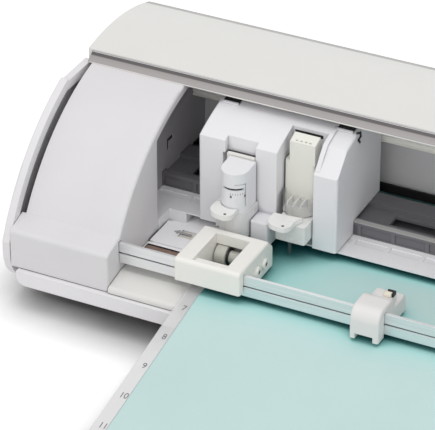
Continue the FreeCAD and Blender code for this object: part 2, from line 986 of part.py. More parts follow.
def feed_roller():
    """Grit-coated feed roller on a steel shaft that runs out to both frame plates."""
    roller = rod_x(feed_y, feed_z, feed_radius, -feed_half_length, feed_half_length)
    shaft_left = gear_x - gear_width - 1
    shaft_right = plate_out + bush_flange
    shaft = rod_x(feed_y, feed_z, feed_shaft_radius, shaft_left, shaft_right)
    return roller.fuse(shaft).removeSplitter()


def feed_bushes():
    """Two flanged bushes that carry the feed shaft in the frame plates."""
    bushes = []
    for sign in (-1, 1):
        sleeve0, sleeve1 = sorted((sign * plate_in, sign * plate_out))
        flange0, flange1 = sorted((sign * plate_in, sign * (plate_in - bush_flange)))
        sleeve = rod_x(feed_y, feed_z, bush_radius - running_gap, sleeve0, sleeve1)
        flange = rod_x(feed_y, feed_z, bush_flange_radius, flange0, flange1)
        bore = rod_x(feed_y, feed_z, feed_shaft_radius + running_gap, flange0 - 9, flange1 + 9)
        bushes.append(sleeve.fuse(flange).cut(bore))
    return Part.makeCompound(bushes)


def feed_gear():
    """Gear on the left end of the feed shaft."""
    phase = math.pi / 2
    return spur_gear(feed_y, feed_z, gear_teeth, phase, feed_shaft_radius, gear_x - gear_width, gear_x)


def feed_pinion():
    """Motor pinion that meshes above the feed gear, with a tooth in the gap of its partner."""
    phase = -math.pi / 2 + math.pi / pinion_teeth
    z = feed_z + gear_center
    bore = motor_shaft_radius + running_gap
    return spur_gear(feed_y, z, pinion_teeth, phase, bore, gear_x - gear_width, gear_x)


def feed_motor():
    """Can motor on three posts outside the left frame plate; its shaft carries the pinion."""
    z = feed_z + gear_center
    face = gear_x - gear_width - motor_face_gap
    can = rod_x(feed_y, z, motor_radius, motor_end_gap + wall - tower_out, face)
    can = rounded(can, 1.5, lambda mid, size: size.XLength < 0.1 and size.YLength > motor_radius)
    nose = rod_x(feed_y, z, motor_shaft_radius * 3, face, face + 1.2)
    shaft = rod_x(feed_y, z, motor_shaft_radius, face, gear_x + 1)
    posts = []
    for angle in (30, 90, 150):
        turn = math.radians(angle)
        y = feed_y + motor_post_circle * math.cos(turn)
        post_z = z + motor_post_circle * math.sin(turn)
        posts.append(rod_x(y, post_z, motor_post_radius, face, -plate_out))
    return can.fuse([nose, shaft] + posts).removeSplitter()


# Pinch roller units


def bar_channel(x0, x1, gap):
    """Room for the roller bar, open at the bottom."""
    wire = outline(
        side(bar_front_y - gap, bar_bottom - 20),
        side(bar_front_y - gap, bar_top + gap),
        side(bar_front_y + bar_land + gap / 2, bar_top + gap),
        side(bar_rear_y + gap, bar_bottom + bar_land + gap / 2),
        side(bar_rear_y + gap, bar_bottom - 20),
    )
    return across(wire, x0, x1)


def roller_housing():
    """Left pinch roller housing: a saddle over the bar with a window above the wheel."""
    x0 = -unit_inner_x - unit_width
    x1 = -unit_inner_x
    wire = outline(
        side(unit_front_y, unit_front_bottom),
        side(unit_front_y, unit_top),
        side(unit_top_rear_y, unit_top),
        side(unit_rear_y, unit_rear_z),
        side(unit_rear_y, unit_rear_bottom),
        side(bar_rear_y - window_wall, unit_rear_bottom),
        side(bar_rear_y - window_wall, unit_front_bottom),
    )
    housing = across(wire, x0, x1)
    for y in (unit_front_y, unit_top_rear_y):
        housing = rounded(
            housing,
            unit_round,
            lambda mid, size: size.XLength > 1 and abs(mid.y - y) + abs(mid.z - unit_top) < 0.1,
        )
    housing = rounded(
        housing, edge_round, lambda mid, size: size.XLength < 0.01 and mid.z > unit_front_bottom + 3
    )
    bosses = []
    holes = []
    for y in (boss_y, boss_y - boss_pitch):
        bosses.append(rod_x(y, boss_z, boss_radius, x1 - edge_round, x1 + boss_height))
        holes.append(rod_x(y, boss_z, boss_hole_radius, x1 - 2 * edge_round, x1 + 2 * boss_height))
    housing = housing.fuse(bosses)
    window0 = x0 + window_outer
    window1 = x1 - window_inner
    ramp_top_y = bar_front_y + bar_land + slide_gap + window_wall
    ramp_top_z = bar_top + slide_gap + window_wall
    ramp_bottom_y = bar_rear_y + slide_gap + window_wall
    pocket = outline(
        side(window_front_y, unit_top + 1),
        side(window_front_y, ramp_top_z),
        side(ramp_top_y, ramp_top_z),
        side(ramp_bottom_y, bar_bottom + bar_land + window_wall),
        side(ramp_bottom_y, unit_rear_bottom - 1),
        side(window_rear_y, unit_rear_bottom - 1),
        side(window_rear_y, unit_top + 1),
    )
    window = across(pocket, window0, window1)
    room_radius = pinch_radius + pinch_pocket_gap
    wheel_room = rod_x(feed_y, pinch_z, room_radius, window0, window1)
    below = box(window0, window1, feed_y, feed_y + room_radius, unit_rear_bottom - 1, pinch_z)
    shaft = rod_x(feed_y, pinch_z, pinch_shaft_radius + running_gap, window0 - 5, window1 + 5)
    channel = bar_channel(x0 - 1, x1 + 1, slide_gap)
    return housing.cut([channel, window, wheel_room, below, shaft] + holes)


def pinch_wheel():
    """Left pinch wheel on its own short shaft, with a raised hub ring."""
    window0 = -unit_inner_x - unit_width + window_outer
    window1 = -unit_inner_x - window_inner
    x0 = window0 + pinch_side_gap
    wheel = rod_x(feed_y, pinch_z, pinch_radius, x0, x0 + pinch_width)
    wheel = rounded(wheel, 0.6, lambda mid, size: size.XLength < 0.01 and size.YLength > pinch_radius)
    hub = rod_x(feed_y, pinch_z, pinch_hub_radius, x0, window1 - pinch_side_gap)
    shaft = rod_x(feed_y, pinch_z, pinch_shaft_radius, window0 - 4.5, window1 + 4.5)
    return wheel.fuse([hub, shaft]).removeSplitter()


def middle_roller_housing():
    """Support saddle: a smooth arch over the bar and a block behind it that holds a small wheel."""
    x0 = saddle_x - saddle_width / 2
    x1 = saddle_x + saddle_width / 2
    bend = saddle_round * (1 - math.sqrt(0.5))
    arch_rear = bar_rear_y + 2
    wire = outline(
        side(saddle_front_y, saddle_bottom),
        side(saddle_front_y, saddle_top - saddle_round),
        (
            side(saddle_front_y + bend, saddle_top - bend),
            side(saddle_front_y + saddle_round, saddle_top),
        ),
        side(arch_rear - saddle_round, saddle_top),
        (side(arch_rear - bend, saddle_top - bend), side(arch_rear, saddle_top - saddle_round)),
        side(saddle_block_rear_y - 3, saddle_top - saddle_round),
        side(saddle_block_rear_y, saddle_top - saddle_round - 3),
        side(saddle_block_rear_y, unit_rear_bottom),
        side(bar_rear_y + slide_gap, unit_rear_bottom),
        side(bar_front_y - slide_gap, unit_rear_bottom),
        side(bar_front_y - slide_gap, saddle_bottom),
    )
    saddle = across(wire, x0, x1)
    saddle = rounded(saddle, edge_round, lambda mid, size: size.XLength < 0.01 and mid.z > saddle_bottom + 3)
    block = box(x0 + 5, x1 - 2, arch_rear - 4, arch_rear + 6, saddle_top - saddle_round - 2, saddle_block_top)
    half = saddle_notch_width / 2
    notch = box(
        saddle_x - half,
        saddle_x + half,
        saddle_front_y - 1,
        bar_front_y,
        saddle_bottom - 1,
        saddle_bottom + saddle_notch_height,
    )
    room = saddle_wheel_width / 2 + 0.5
    wheel_y = saddle_wheel_y()
    radius = saddle_wheel_radius + 0.5
    wheel_room = rod_x(wheel_y, saddle_wheel_z, radius, saddle_x - room, saddle_x + room)
    below = box(saddle_x - room, saddle_x + room, wheel_y - radius, wheel_y + radius, 0, saddle_wheel_z)
    pin_radius = saddle_wheel_shaft + running_gap
    pin = rod_x(wheel_y, saddle_wheel_z, pin_radius, saddle_x - room - 3, saddle_x + room + 3)
    saddle = saddle.fuse(block).removeSplitter()
    return saddle.cut([bar_channel(x0 - 1, x1 + 1, slide_gap), notch, wheel_room, below, pin])


def saddle_wheel_y():
    """Depth of the support wheel, midway under its block."""
    return (bar_rear_y + saddle_block_rear_y) / 2 + 1


def middle_pinch_wheel():
    """Small free wheel under the middle saddle."""
    y = saddle_wheel_y()
    half = saddle_wheel_width / 2
    wheel = rod_x(y, saddle_wheel_z, saddle_wheel_radius, saddle_x - half, saddle_x + half)
    pin = rod_x(y, saddle_wheel_z, saddle_wheel_shaft, saddle_x - half - 3, saddle_x + half + 3)
    return wheel.fuse(pin).removeSplitter()


# Mat


def mat_outline(bottom, top, front, rear):
    """Sheet that lies flat on the bed, bends over the platform's slope and hangs on to the front."""
    slope = math.radians(slope_angle)

    def bent(z):
        """Flat run, bend and slope of one face; all faces of the mat bend about one centre."""
        radius = mat_bend_radius - (mat_face_top - z)
        start = side(slope_start_y, z)
        half = slope / 2
        mid = side(slope_start_y - radius * math.sin(half), z - radius * (1 - math.cos(half)))
        end = side(slope_start_y - radius * math.sin(slope), z - radius * (1 - math.cos(slope)))
        tip = side(front, end.z - (end.y - front) * math.tan(slope))
        return start, mid, end, tip

    top_start, top_mid, top_end, top_tip = bent(top)
    low_start, low_mid, low_end, low_tip = bent(bottom)
    return outline(
        side(rear, top),
        top_start,
        (top_mid, top_end),
        top_tip,
        low_tip,
        low_end,
        (low_mid, low_start),
        side(rear, bottom),
    )


def mat_carrier():
    """Flexible carrier sheet of the cutting mat."""
    wire = mat_outline(mat_bottom, mat_top, mat_front_y, mat_rear_y)
    return across(wire, -mat_half_width, mat_half_width)


def mat_face():
    """Coloured adhesive face of the cutting mat, inside a plain margin."""
    front = mat_front_y + mat_face_margin
    rear = mat_rear_y - mat_face_margin
    wire = mat_outline(mat_top, mat_face_top, front, rear)
    return across(wire, -mat_face_half_width, mat_face_half_width)


# Lid


def lid_front_leaf():
    """Outer leaf of the lid, with a runner at each end that rides in the side slots."""
    half = panel_in - fit_gap
    rear = leaf_front_angle - leaf_angle
    leaf = shell_about_track(front_leaf_inner, front_leaf_outer, leaf_front_angle, rear, -half, half)
    runners = []
    low = slot_radius + leaf_gap
    top_angle = leaf_front_angle - 1
    for sign in (-1, 1):
        x0, x1 = sorted((sign * (tower_out + fit_gap), sign * half))
        runners.append(shell_about_track(low, front_leaf_inner, top_angle, top_angle - runner_angle, x0, x1))
    return leaf.fuse(runners).removeSplitter()


def lid_handle_rail():
    """Grey pull rail along the lid's front edge: a sloping face over a thin lower lip."""
    half = panel_in - fit_gap
    wire = outline(
        on_track(front_leaf_outer, leaf_front_angle),
        on_track(rear_leaf_inner + 0.7, rail_front_angle),
        on_track(rear_leaf_inner, rail_front_angle),
        on_track(rear_leaf_inner, leaf_front_angle + 0.4),
        on_track(front_leaf_inner, leaf_front_angle + 0.2),
        on_track(front_leaf_inner, leaf_front_angle),
    )
    return across(wire, -half, half)


def lid_rear_leaf():
    """Inner leaf that follows the front leaf and closes the gap behind it."""
    half = tower_out - fit_gap
    front = leaf_front_angle - 0.4
    rear = leaf_front_angle - leaf_angle
    return shell_about_track(rear_leaf_inner, rear_leaf_outer, front, rear, -half, half)


# Tool carriage


def column_edges():
    """X positions of the carriage columns from left to right."""
    edges = [carriage_left_x]
    for width in column_widths:
        edges.append(edges[-1] + width)
    return edges


def carriage_outline(inset, bottom):
    """Side profile of the carriage: upright front, round top and a step that clears the rail."""
    radius = carriage_radius - inset
    front = carriage_front_y + inset
    rear = carriage_rear_y - inset
    front_angle = track_angle(radius, front)
    rear_angle = track_angle(radius, rear)
    return outline(
        side(front, carriage_front_bottom),
        on_track(radius, front_angle),
        track_arc(radius, front_angle, rear_angle),
        side(rear, bottom),
        side(carriage_step_y, bottom),
        side(carriage_step_y, carriage_front_bottom),
    )


def carriage_cover():
    """White carriage moulding with a blade bay, a tool bay and a cut-back right shoulder."""
    left, bay0, bay1, tool0, tool1, right = column_edges()
    cover = across(carriage_outline(0, carriage_rear_bottom), left, right)

    def is_upper_side_edge(mid, size):
        """True for the front and top edges of the two side faces."""
        return size.XLength < 0.01 and mid.y < carriage_rear_y - 1 and mid.z > carriage_rear_bottom

    cover = rounded(cover, edge_round, is_upper_side_edge)
    back = carriage_front_y + bay_depth
    top = cover_radius
    shoulder = on_track(carriage_radius, track_angle(carriage_radius, carriage_front_y))
    low = shoulder.z - shoulder_drop
    wedge = outline(
        side(carriage_front_y - 5, low - 5),
        side(carriage_front_y + shoulder_reach + 5, low + shoulder_reach + 5),
        side(carriage_front_y - 5, low + shoulder_reach + 5),
    )
    cavity = carriage_outline(wall, 0)
    inner = across(cavity, left + wall, right - wall)
    inner = inner.common(box(left, right, back + wall, carriage_rear_y - wall, 0, top))
    clamp_middle = (bay1 + tool0) / 2
    half = clamp_width / 2 + fit_gap
    clamp_hole = box(
        clamp_middle - half,
        clamp_middle + half,
        carriage_rear_y - 2 * wall,
        carriage_rear_y + 1,
        0,
        rail_top + clamp_rise + clamp_height + 1,
    )
    cuts = [
        box(bay0, bay1, carriage_front_y - 1, back, 0, dent_bottom),
        box(bay0 + 1.5, bay1, carriage_front_y - 1, carriage_front_y + dent_depth, dent_bottom - 1, dent_top),
        box(tool0, tool1, carriage_front_y - 1, back, 0, top),
        across(wedge, tool1, right + 1),
        inner,
        clamp_hole,
    ]
    foot_left = blade_x + cup_radius + foot_box_gap
    foot_rear = carriage_front_y + wall
    foot = rounded_block(
        foot_left, tool0, foot_box_y, foot_rear, carriage_front_bottom, foot_box_top, edge_round
    )
    return cover.cut(cuts).fuse(foot).removeSplitter()


def carriage_frame():
    """Inner block of the carriage that carries the slider pads and the tool arms."""
    left, bay0, bay1, tool0, tool1, right = column_edges()
    margin = wall + frame_margin
    front = carriage_front_y + bay_depth + margin
    rear = carriage_rear_y - margin
    bottom = rail_top + fit_gap + slider_height
    block = box(left + margin, right - margin, front, rear, bottom, frame_top)
    window_top = frame_top - 12
    windows = []
    for x0, x1 in ((bay0, bay1), (tool0, tool1)):
        windows.append(box(x0, x1, front - 1, rear + 1, bottom + 12, window_top))
    return block.cut(windows)


def carriage_sliders():
    """Four low-friction pads between the carriage frame and the rail, and two stop pads on the carriage."""
    left, bay0, bay1, tool0, tool1, right = column_edges()
    margin = wall + frame_margin
    front = carriage_front_y + bay_depth + margin
    rear = carriage_rear_y - margin
    bottom = rail_top + fit_gap
    pads = []
    for x in (left + margin, right - margin - slider_length):
        for y in (max(front, guide_rear_y), rear - slider_width):
            pads.append(box(x, x + slider_length, y, y + slider_width, bottom, bottom + slider_height))
    front_angle = track_angle(carriage_radius, top_pad_front_y)
    rear_angle = track_angle(carriage_radius, top_pad_rear_y)
    high = carriage_radius + top_pad_height
    for middle in ((left + bay0) / 2, (tool1 + right) / 2):
        x0 = middle - top_pad_width / 2
        x1 = middle + top_pad_width / 2
        pads.append(shell_about_track(carriage_radius, high, front_angle, rear_angle, x0, x1))
    return Part.makeCompound(pads)


def belt_clamp():
    """Clip behind the carriage that hooks over the rail to the front run of the belt."""
    left, bay0, bay1, tool0, tool1, right = column_edges()
    middle = (bay1 + tool0) / 2
    half = clamp_width / 2
    rear = carriage_rear_y - wall - frame_margin
    run = belt_y - belt_inner - belt_thickness - fit_gap
    low = rail_top + clamp_rise
    arm = box(middle - half, middle + half, rear, run, low, low + clamp_height)
    leg = box(middle - half, middle + half, rail_rear_y + 2 * slide_gap, run, belt_z, low)
    slots = []
    for step in (-1, 0, 1):
        x = middle + step * 4
        slots.append(box(x - 0.8, x + 0.8, run - 1, run + 1, belt_z - 1, belt_z + belt_width + 1))
    return arm.fuse(leg).removeSplitter().cut(slots)


def blade_plan(grow):
    """Plan of the blade housing: half round at the front with a flat back, grown by a gap."""
    radius = blade_radius + grow
    back = blade_y + blade_back + grow
    return outline(
        FreeCAD.Vector(blade_x - radius, back, 0),
        FreeCAD.Vector(blade_x - radius, blade_y, 0),
        (FreeCAD.Vector(blade_x, blade_y - radius, 0), FreeCAD.Vector(blade_x + radius, blade_y, 0)),
        FreeCAD.Vector(blade_x + radius, back, 0),
    )


def left_tool_holder():
    """Clamp cup for the blade housing on an arm that rises and falls in the blade bay."""
    left, bay0, bay1, tool0, tool1, right = column_edges()
    cup = upward(blade_plan(cup_radius - blade_radius), cup_bottom, cup_top)
    in_front = box(left, right, blade_y - cup_radius - 1, carriage_front_y - fit_gap, cup_bottom, cup_top)
    x0 = bay0 + arm_gap
    x1 = bay1 - arm_gap
    rear = carriage_front_y + bay_depth - arm_rear_gap
    arm = box(x0, x1, blade_y, rear, cup_bottom, cup_top)
    mast = box(x0, x1, carriage_front_y + dent_depth + arm_rear_gap, rear, cup_bottom, arm_top)
    bore = upward(blade_plan(cup_gap), 0, cover_radius)
    return cup.common(in_front).fuse([arm, mast]).removeSplitter().cut(bore)


def blade_groove(depth, z0, z1):
    """Groove round the blade housing between two heights."""
    return upward(blade_plan(1), z0, z1).cut(upward(blade_plan(-depth), z0 - 1, z1 + 1))


def blade_housing():
    """Ratchet blade housing: slanted cap, a scale window in its round front, a dial edge and a fine blade."""
    barrel = upward(blade_plan(0), blade_bottom, blade_top)
    front = blade_y - blade_radius - 1
    back = blade_y + blade_back + 1
    slant = outline(
        side(front, blade_top - blade_slant),
        side(back, blade_top),
        side(back, blade_top + blade_slant),
        side(front, blade_top + blade_slant),
    )
    cap_cut = across(slant, blade_x - cup_radius, blade_x + cup_radius)
    seam_z = blade_top - blade_seam_drop
    edge0 = blade_x + blade_edge
    edge1 = edge0 + blade_edge_width
    edge_z = cup_top + blade_edge_foot
    edge_room = box(edge0, edge1, front, blade_y, edge_z, seam_z)
    edge = blade_groove(groove_depth, edge_z, seam_z).common(edge_room)
    seam_top = seam_z + groove_depth
    seam_room = box(blade_x + blade_seam_start, edge1, front, blade_y, seam_z, seam_top)
    seam = blade_groove(groove_depth, seam_z, seam_top).common(seam_room)
    window_z = blade_top - blade_window_drop
    window_top = window_z + blade_window_height
    in_front = box(
        blade_x - blade_window_left, blade_x + blade_window_right, front, blade_y, window_z, window_top
    )
    window = blade_groove(2 * groove_depth, window_z, window_top).common(in_front)
    neck_height = (blade_bottom - blade_tip_z) * 0.7
    neck = Part.makeCone(
        blade_radius * 0.75,
        blade_radius * 0.35,
        neck_height,
        FreeCAD.Vector(blade_x, blade_y, blade_bottom),
        FreeCAD.Vector(0, 0, -1),
    )
    tip = rod_z(blade_x, blade_y, blade_tip_radius, blade_tip_z, blade_bottom)
    return barrel.cut([cap_cut, seam, edge, window]).fuse([neck, tip]).removeSplitter()


def right_tool_holder():
    """Tray for the square tool with a low round lip, on a foot that rises and falls in the tool bay."""
    left, bay0, bay1, tool0, tool1, right = column_edges()
    x0 = tool_x - tray_left
    x1 = tool1 - arm_gap
    rear = carriage_front_y + bay_depth - arm_rear_gap
    body = rounded_block(x0, x1, tray_front_y, rear, tray_bottom, tray_top, tray_round)
    lip = rod_z(tool_x, lip_y, tray_lip_radius, tray_top, tray_lip_top)
    lip_bore = rod_z(tool_x, lip_y, tray_lip_radius - tray_lip_wall, tray_top, tray_lip_top + 1)
    in_front = box(left, right, lip_y - tray_lip_radius, lip_y, tray_top, tray_lip_top + 1)
    lip = lip.common(in_front).cut(lip_bore)
    half = tool_spigot_half + cup_gap
    pocket_front = tool_front_y - cup_gap
    pocket_rear = tool_front_y + tool_body_depth + cup_gap
    pocket = box(tool_x - half, tool_x + half, pocket_front, pocket_rear, tool_bottom, tray_top)
    half = tool_foot_width / 2 + cup_gap
    foot_front = tool_tip_y - tool_foot_width / 4 - cup_gap
    foot_room = box(tool_x - half, tool_x + half, foot_front, tool_front_y, tool_bottom, tray_top)
    tip_hole = rod_z(tool_x, tool_tip_y, tool_tip_radius + cup_gap, 0, tool_bottom + 1)
    return body.cut([pocket, foot_room, tip_hole]).fuse(lip).removeSplitter()


def square_tool():
    """Second tool: a narrow head with contacts on its bevelled top, a wider body, a spigot and a tip foot."""
    half = tool_width / 2
    head_rear = tool_front_y + tool_depth
    head_outline = outline(
        side(tool_front_y, tool_shoulder_z),
        side(tool_front_y, tool_top - tool_bevel),
        side(head_rear, tool_top),
        side(head_rear, tool_shoulder_z),
    )
    head = across(head_outline, tool_x - half, tool_x + half)
    contacts = []
    slope = tool_bevel / tool_depth
    contact_y = tool_front_y + contact_setback
    contact_z = tool_top - tool_bevel + contact_setback * slope - contact_depth
    reach = contact_width / 2
    for index in range(contact_count):
        x = tool_x + (index - (contact_count - 1) / 2) * contact_pitch
        contacts.append(
            box(x - reach, x + reach, contact_y - reach / 2, contact_y + reach / 2, contact_z, tool_top)
        )
    body_rear = tool_front_y + tool_body_depth
    body = rounded_block(
        tool_x - tool_body_left,
        tool_x + tool_body_right,
        tool_front_y,
        body_rear,
        tray_top + cup_gap,
        tool_shoulder_z,
        tool_body_round,
    )
    half = tool_spigot_half
    spigot = box(tool_x - half, tool_x + half, tool_front_y, body_rear, tool_bottom, tray_top + cup_gap)
    half = tool_foot_width / 2
    foot_top = tool_bottom + tool_foot_height
    foot = box(tool_x - half, tool_x + half, tool_tip_y - half / 2, body_rear, tool_bottom, foot_top)
    tip = rod_z(tool_x, tool_tip_y, tool_tip_radius, tool_tip_z, tool_bottom)
    return head.cut(contacts).fuse([body, spigot, foot, tip]).removeSplitter()


def latch(x, y, z, clearance):
    """Petal-shaped pull tab with a small pip, cut back to clear the tool behind it."""

    def at(place):
        """Point of the petal about the latch's own centre."""
        return FreeCAD.Vector(x + place[0], y + place[1], 0)

    wire = outline(
        at(latch_root[0]),
        (at(latch_right[0]), at(latch_right[1])),
        (at(latch_tip[0]), at(latch_tip[1])),
        (at(latch_left[0]), at(latch_left[1])),
        at(latch_root[1]),
    )
    tab = upward(wire, z, z + latch_thickness)
    pip_z = z + latch_thickness - groove_depth
    pip = rod_z(x + latch_pip[0], y + latch_pip[1], latch_pip_radius, pip_z, z + 2 * latch_thickness)
    return tab.cut([clearance, pip])


def left_latch():
    """Pull tab that locks the blade housing."""
    clearance = upward(blade_plan(2 * fit_gap), 0, cover_radius)
    return latch(blade_x, blade_y, cup_top + fit_gap, clearance)


def right_latch():
    """Pull tab that locks the square tool."""
    clearance = rod_z(tool_x, lip_y, tray_lip_radius + 2 * fit_gap, 0, cover_radius)
    return latch(tool_x, tool_front_y - latch_setback, tray_top + fit_gap, clearance)


# Belt drive


def belt_loop(inner, outer, z0, z1):
    """Flat loop round both pulleys."""

    def loop(radius):
        """Plan outline of the loop at one radius."""
        front = belt_y - radius
        rear = belt_y + radius
        return outline(
            FreeCAD.Vector(-pulley_x, front, 0),
            FreeCAD.Vector(pulley_x, front, 0),
            (FreeCAD.Vector(pulley_x + radius, belt_y, 0), FreeCAD.Vector(pulley_x, rear, 0)),
            FreeCAD.Vector(-pulley_x, rear, 0),
            (FreeCAD.Vector(-pulley_x - radius, belt_y, 0), FreeCAD.Vector(-pulley_x, front, 0)),
        )

    return upward(loop(outer), z0, z1).cut(upward(loop(inner), z0 - 1, z1 + 1))


def drive_belt():
    """Belt that draws the carriage along the rail."""
    return belt_loop(belt_inner, belt_inner + belt_thickness, belt_z, belt_z + belt_width)


def pulley(x):
    """Flanged belt pulley on a Z axis."""
    low = belt_z - fit_gap - pulley_flange
    high = belt_z + belt_width + fit_gap
    drum = rod_z(x, belt_y, pulley_radius, low, high + pulley_flange)
    rims = [
        rod_z(x, belt_y, pulley_flange_radius, low, low + pulley_flange),
        rod_z(x, belt_y, pulley_flange_radius, high, high + pulley_flange),
    ]
    bore = rod_z(x, belt_y, pulley_shaft_radius + running_gap, low - 1, high + 5)
    return drum.fuse(rims).removeSplitter().cut(bore)


def carriage_motor():
    """Motor above the right pulley on a shelf that is fixed to the frame plate."""
    shelf_z = belt_z + belt_width + 2 * fit_gap + pulley_flange + 1
    top = shelf_z + bracket_thickness
    shelf = box(
        plate_out,
        pulley_x + bracket_half_width,
        belt_y - bracket_half_width,
        belt_y + bracket_half_width,
        shelf_z,
        top,
    )
    can = rod_z(pulley_x, belt_y, carriage_motor_radius, top, top + carriage_motor_length)
    shaft = rod_z(pulley_x, belt_y, pulley_shaft_radius, belt_z - 1, top)
    return shelf.fuse([can, shaft]).removeSplitter()


def idler_bracket():
    """Forked bracket on the left frame plate with the idler's pin."""
    reach = pulley_x + pulley_flange_radius + 1
    high = belt_z + belt_width + 2 * fit_gap + pulley_flange + 0.3
    low = belt_z - 2 * fit_gap - pulley_flange - 0.3
    half = pulley_flange_radius
    pieces = []
    for z in (high, low - bracket_thickness):
        pieces.append(box(-reach, -plate_out, belt_y - half, belt_y + half, z, z + bracket_thickness))
    pin = rod_z(-pulley_x, belt_y, pulley_shaft_radius, low - bracket_thickness, high + bracket_thickness)
    lug_bottom = low - bracket_thickness
    lug_top = high + bracket_thickness
    lug = box(-reach - 3, -reach, belt_y - half, belt_y + half, lug_bottom, lug_top)
    return pieces[0].fuse([pieces[1], lug, pin]).removeSplitter()


# Electrics


def circuit_board():
    """Main board on four posts outside the right frame plate, with a chip, a plug strip and a capacitor."""
    x = plate_out + board_offset
    face = x + board_thickness
    board = box(x, face, board_front_y, board_rear_y, board_bottom, board_top)
    inset = board_post_inset
    pieces = []
    for y in (board_front_y + inset, board_rear_y - inset):
        for z in (board_bottom + inset, board_top - inset):
            pieces.append(rod_x(y, z, board_post_radius, plate_out, x))
    y = (board_front_y + board_rear_y) / 2
    z = (board_bottom + board_top) / 2
    half = chip_width / 2
    pieces.append(box(face, face + chip_height, y - half, y + half, z - half, z + half))
    half = plug_length / 2
    plug_z = board_bottom + inset
    pieces.append(box(face, face + plug_height, y - half, y + half, plug_z, plug_z + plug_width))
    pieces.append(rod_x(y, board_top - 2 * inset, capacitor_radius, face, face + capacitor_height))
    return board.fuse(pieces).removeSplitter()


def button_places():
    """X positions of the four buttons on the right chin."""
    return [button_first_x + index * button_pitch for index in range(4)]


def button(x):
    """Round button with a retaining flange behind the chin."""
    front = chin_y - button_proud
    cap = rod_y(x, button_z, button_radius, front, front + button_length)
    cap = rounded(cap, 0.6, lambda mid, size: abs(mid.y - front) < 1e-4 and size.YLength < 0.01)
    seat = chin_y + wall + fit_gap
    flange = rod_y(x, button_z, button_flange_radius, seat, seat + button_flange)
    return cap.fuse(flange).removeSplitter()


def button_board():
    """Small switch board behind the buttons, on posts from the chin."""
    first = button_places()[0]
    last = button_places()[-1]
    back = chin_y - button_proud + button_length
    switch_front = back + button_travel + switch_gap
    face = switch_front + switch_height
    x0 = first - button_flange_radius - 1
    x1 = last + button_flange_radius + 1
    z0 = button_z - button_board_half_height
    z1 = button_z + button_board_half_height
    board = box(x0, x1, face, face + board_thickness, z0, z1)
    switches = [rod_y(x, button_z, switch_radius, switch_front, face) for x in button_places()]
    posts = []
    for index in range(3):
        x = (button_places()[index] + button_places()[index + 1]) / 2
        for z in (z0 + button_post_radius, z1 - button_post_radius):
            posts.append(rod_y(x, z, button_post_radius, chin_y + wall, face))
    return board.fuse(switches + posts).removeSplitter()


def data_socket():
    """Square data socket set into the rear cover."""
    half_w = data_socket_width / 2
    half_h = data_socket_height / 2
    shell = box(
        data_socket_x - half_w,
        data_socket_x + half_w,
        rear_y - socket_depth,
        rear_y,
        socket_z - half_h,
        socket_z + half_h,
    )
    half_w = data_opening_width / 2
    half_h = data_opening_height / 2
    opening = box(
        data_socket_x - half_w,
        data_socket_x + half_w,
        rear_y - socket_opening_depth,
        rear_y + 1,
        socket_z - half_h,
        socket_z + half_h,
    )
    return shell.cut(opening)


def power_socket():
    """Round power inlet with a centre pin set into the rear cover."""
    shell = rod_y(power_socket_x, socket_z, power_socket_radius, rear_y - socket_depth, rear_y)
    opening = rod_y(power_socket_x, socket_z, power_opening_radius, rear_y - socket_opening_depth, rear_y + 1)
    pin = rod_y(power_socket_x, socket_z, power_pin_radius, rear_y - socket_opening_depth, rear_y - wall)
    return shell.cut(opening).fuse(pin).removeSplitter()


# Drawer


def drawer():
    """Roll feed drawer: a front strip with rounded ends, and a low tray set back behind it on a shelf."""
    strip_rear = front_y + drawer_strip_depth
    strip = box(
        -drawer_half_width, drawer_half_width, front_y, strip_rear, drawer_strip_bottom, drawer_strip_top
    )
    strip = rounded(
        strip,
        drawer_end_round,
        lambda mid, size: size.YLength > 5 and mid.z < drawer_strip_bottom + 0.1,
    )
    low = base_top + fit_gap
    inside = tray_half_width - drawer_wall
    inner_front = drawer_tray_front_y + drawer_wall
    inner_rear = drawer_tray_rear_y - drawer_wall
    wide = tray_half_width
    outer = box(-wide, wide, drawer_tray_front_y, drawer_tray_rear_y, low, drawer_tray_top)
    inner = box(-inside, inside, inner_front, inner_rear, low + drawer_wall, drawer_tray_top + 1)
    shelf_top = drawer_strip_bottom + drawer_wall
    shelf = box(-wide, wide, strip_rear, inner_front, drawer_strip_bottom, shelf_top)
    front_wall = box(-wide, wide, drawer_tray_front_y, inner_front, low, shelf_top)
    return strip.fuse([outer.cut(inner), front_wall, shelf]).removeSplitter()


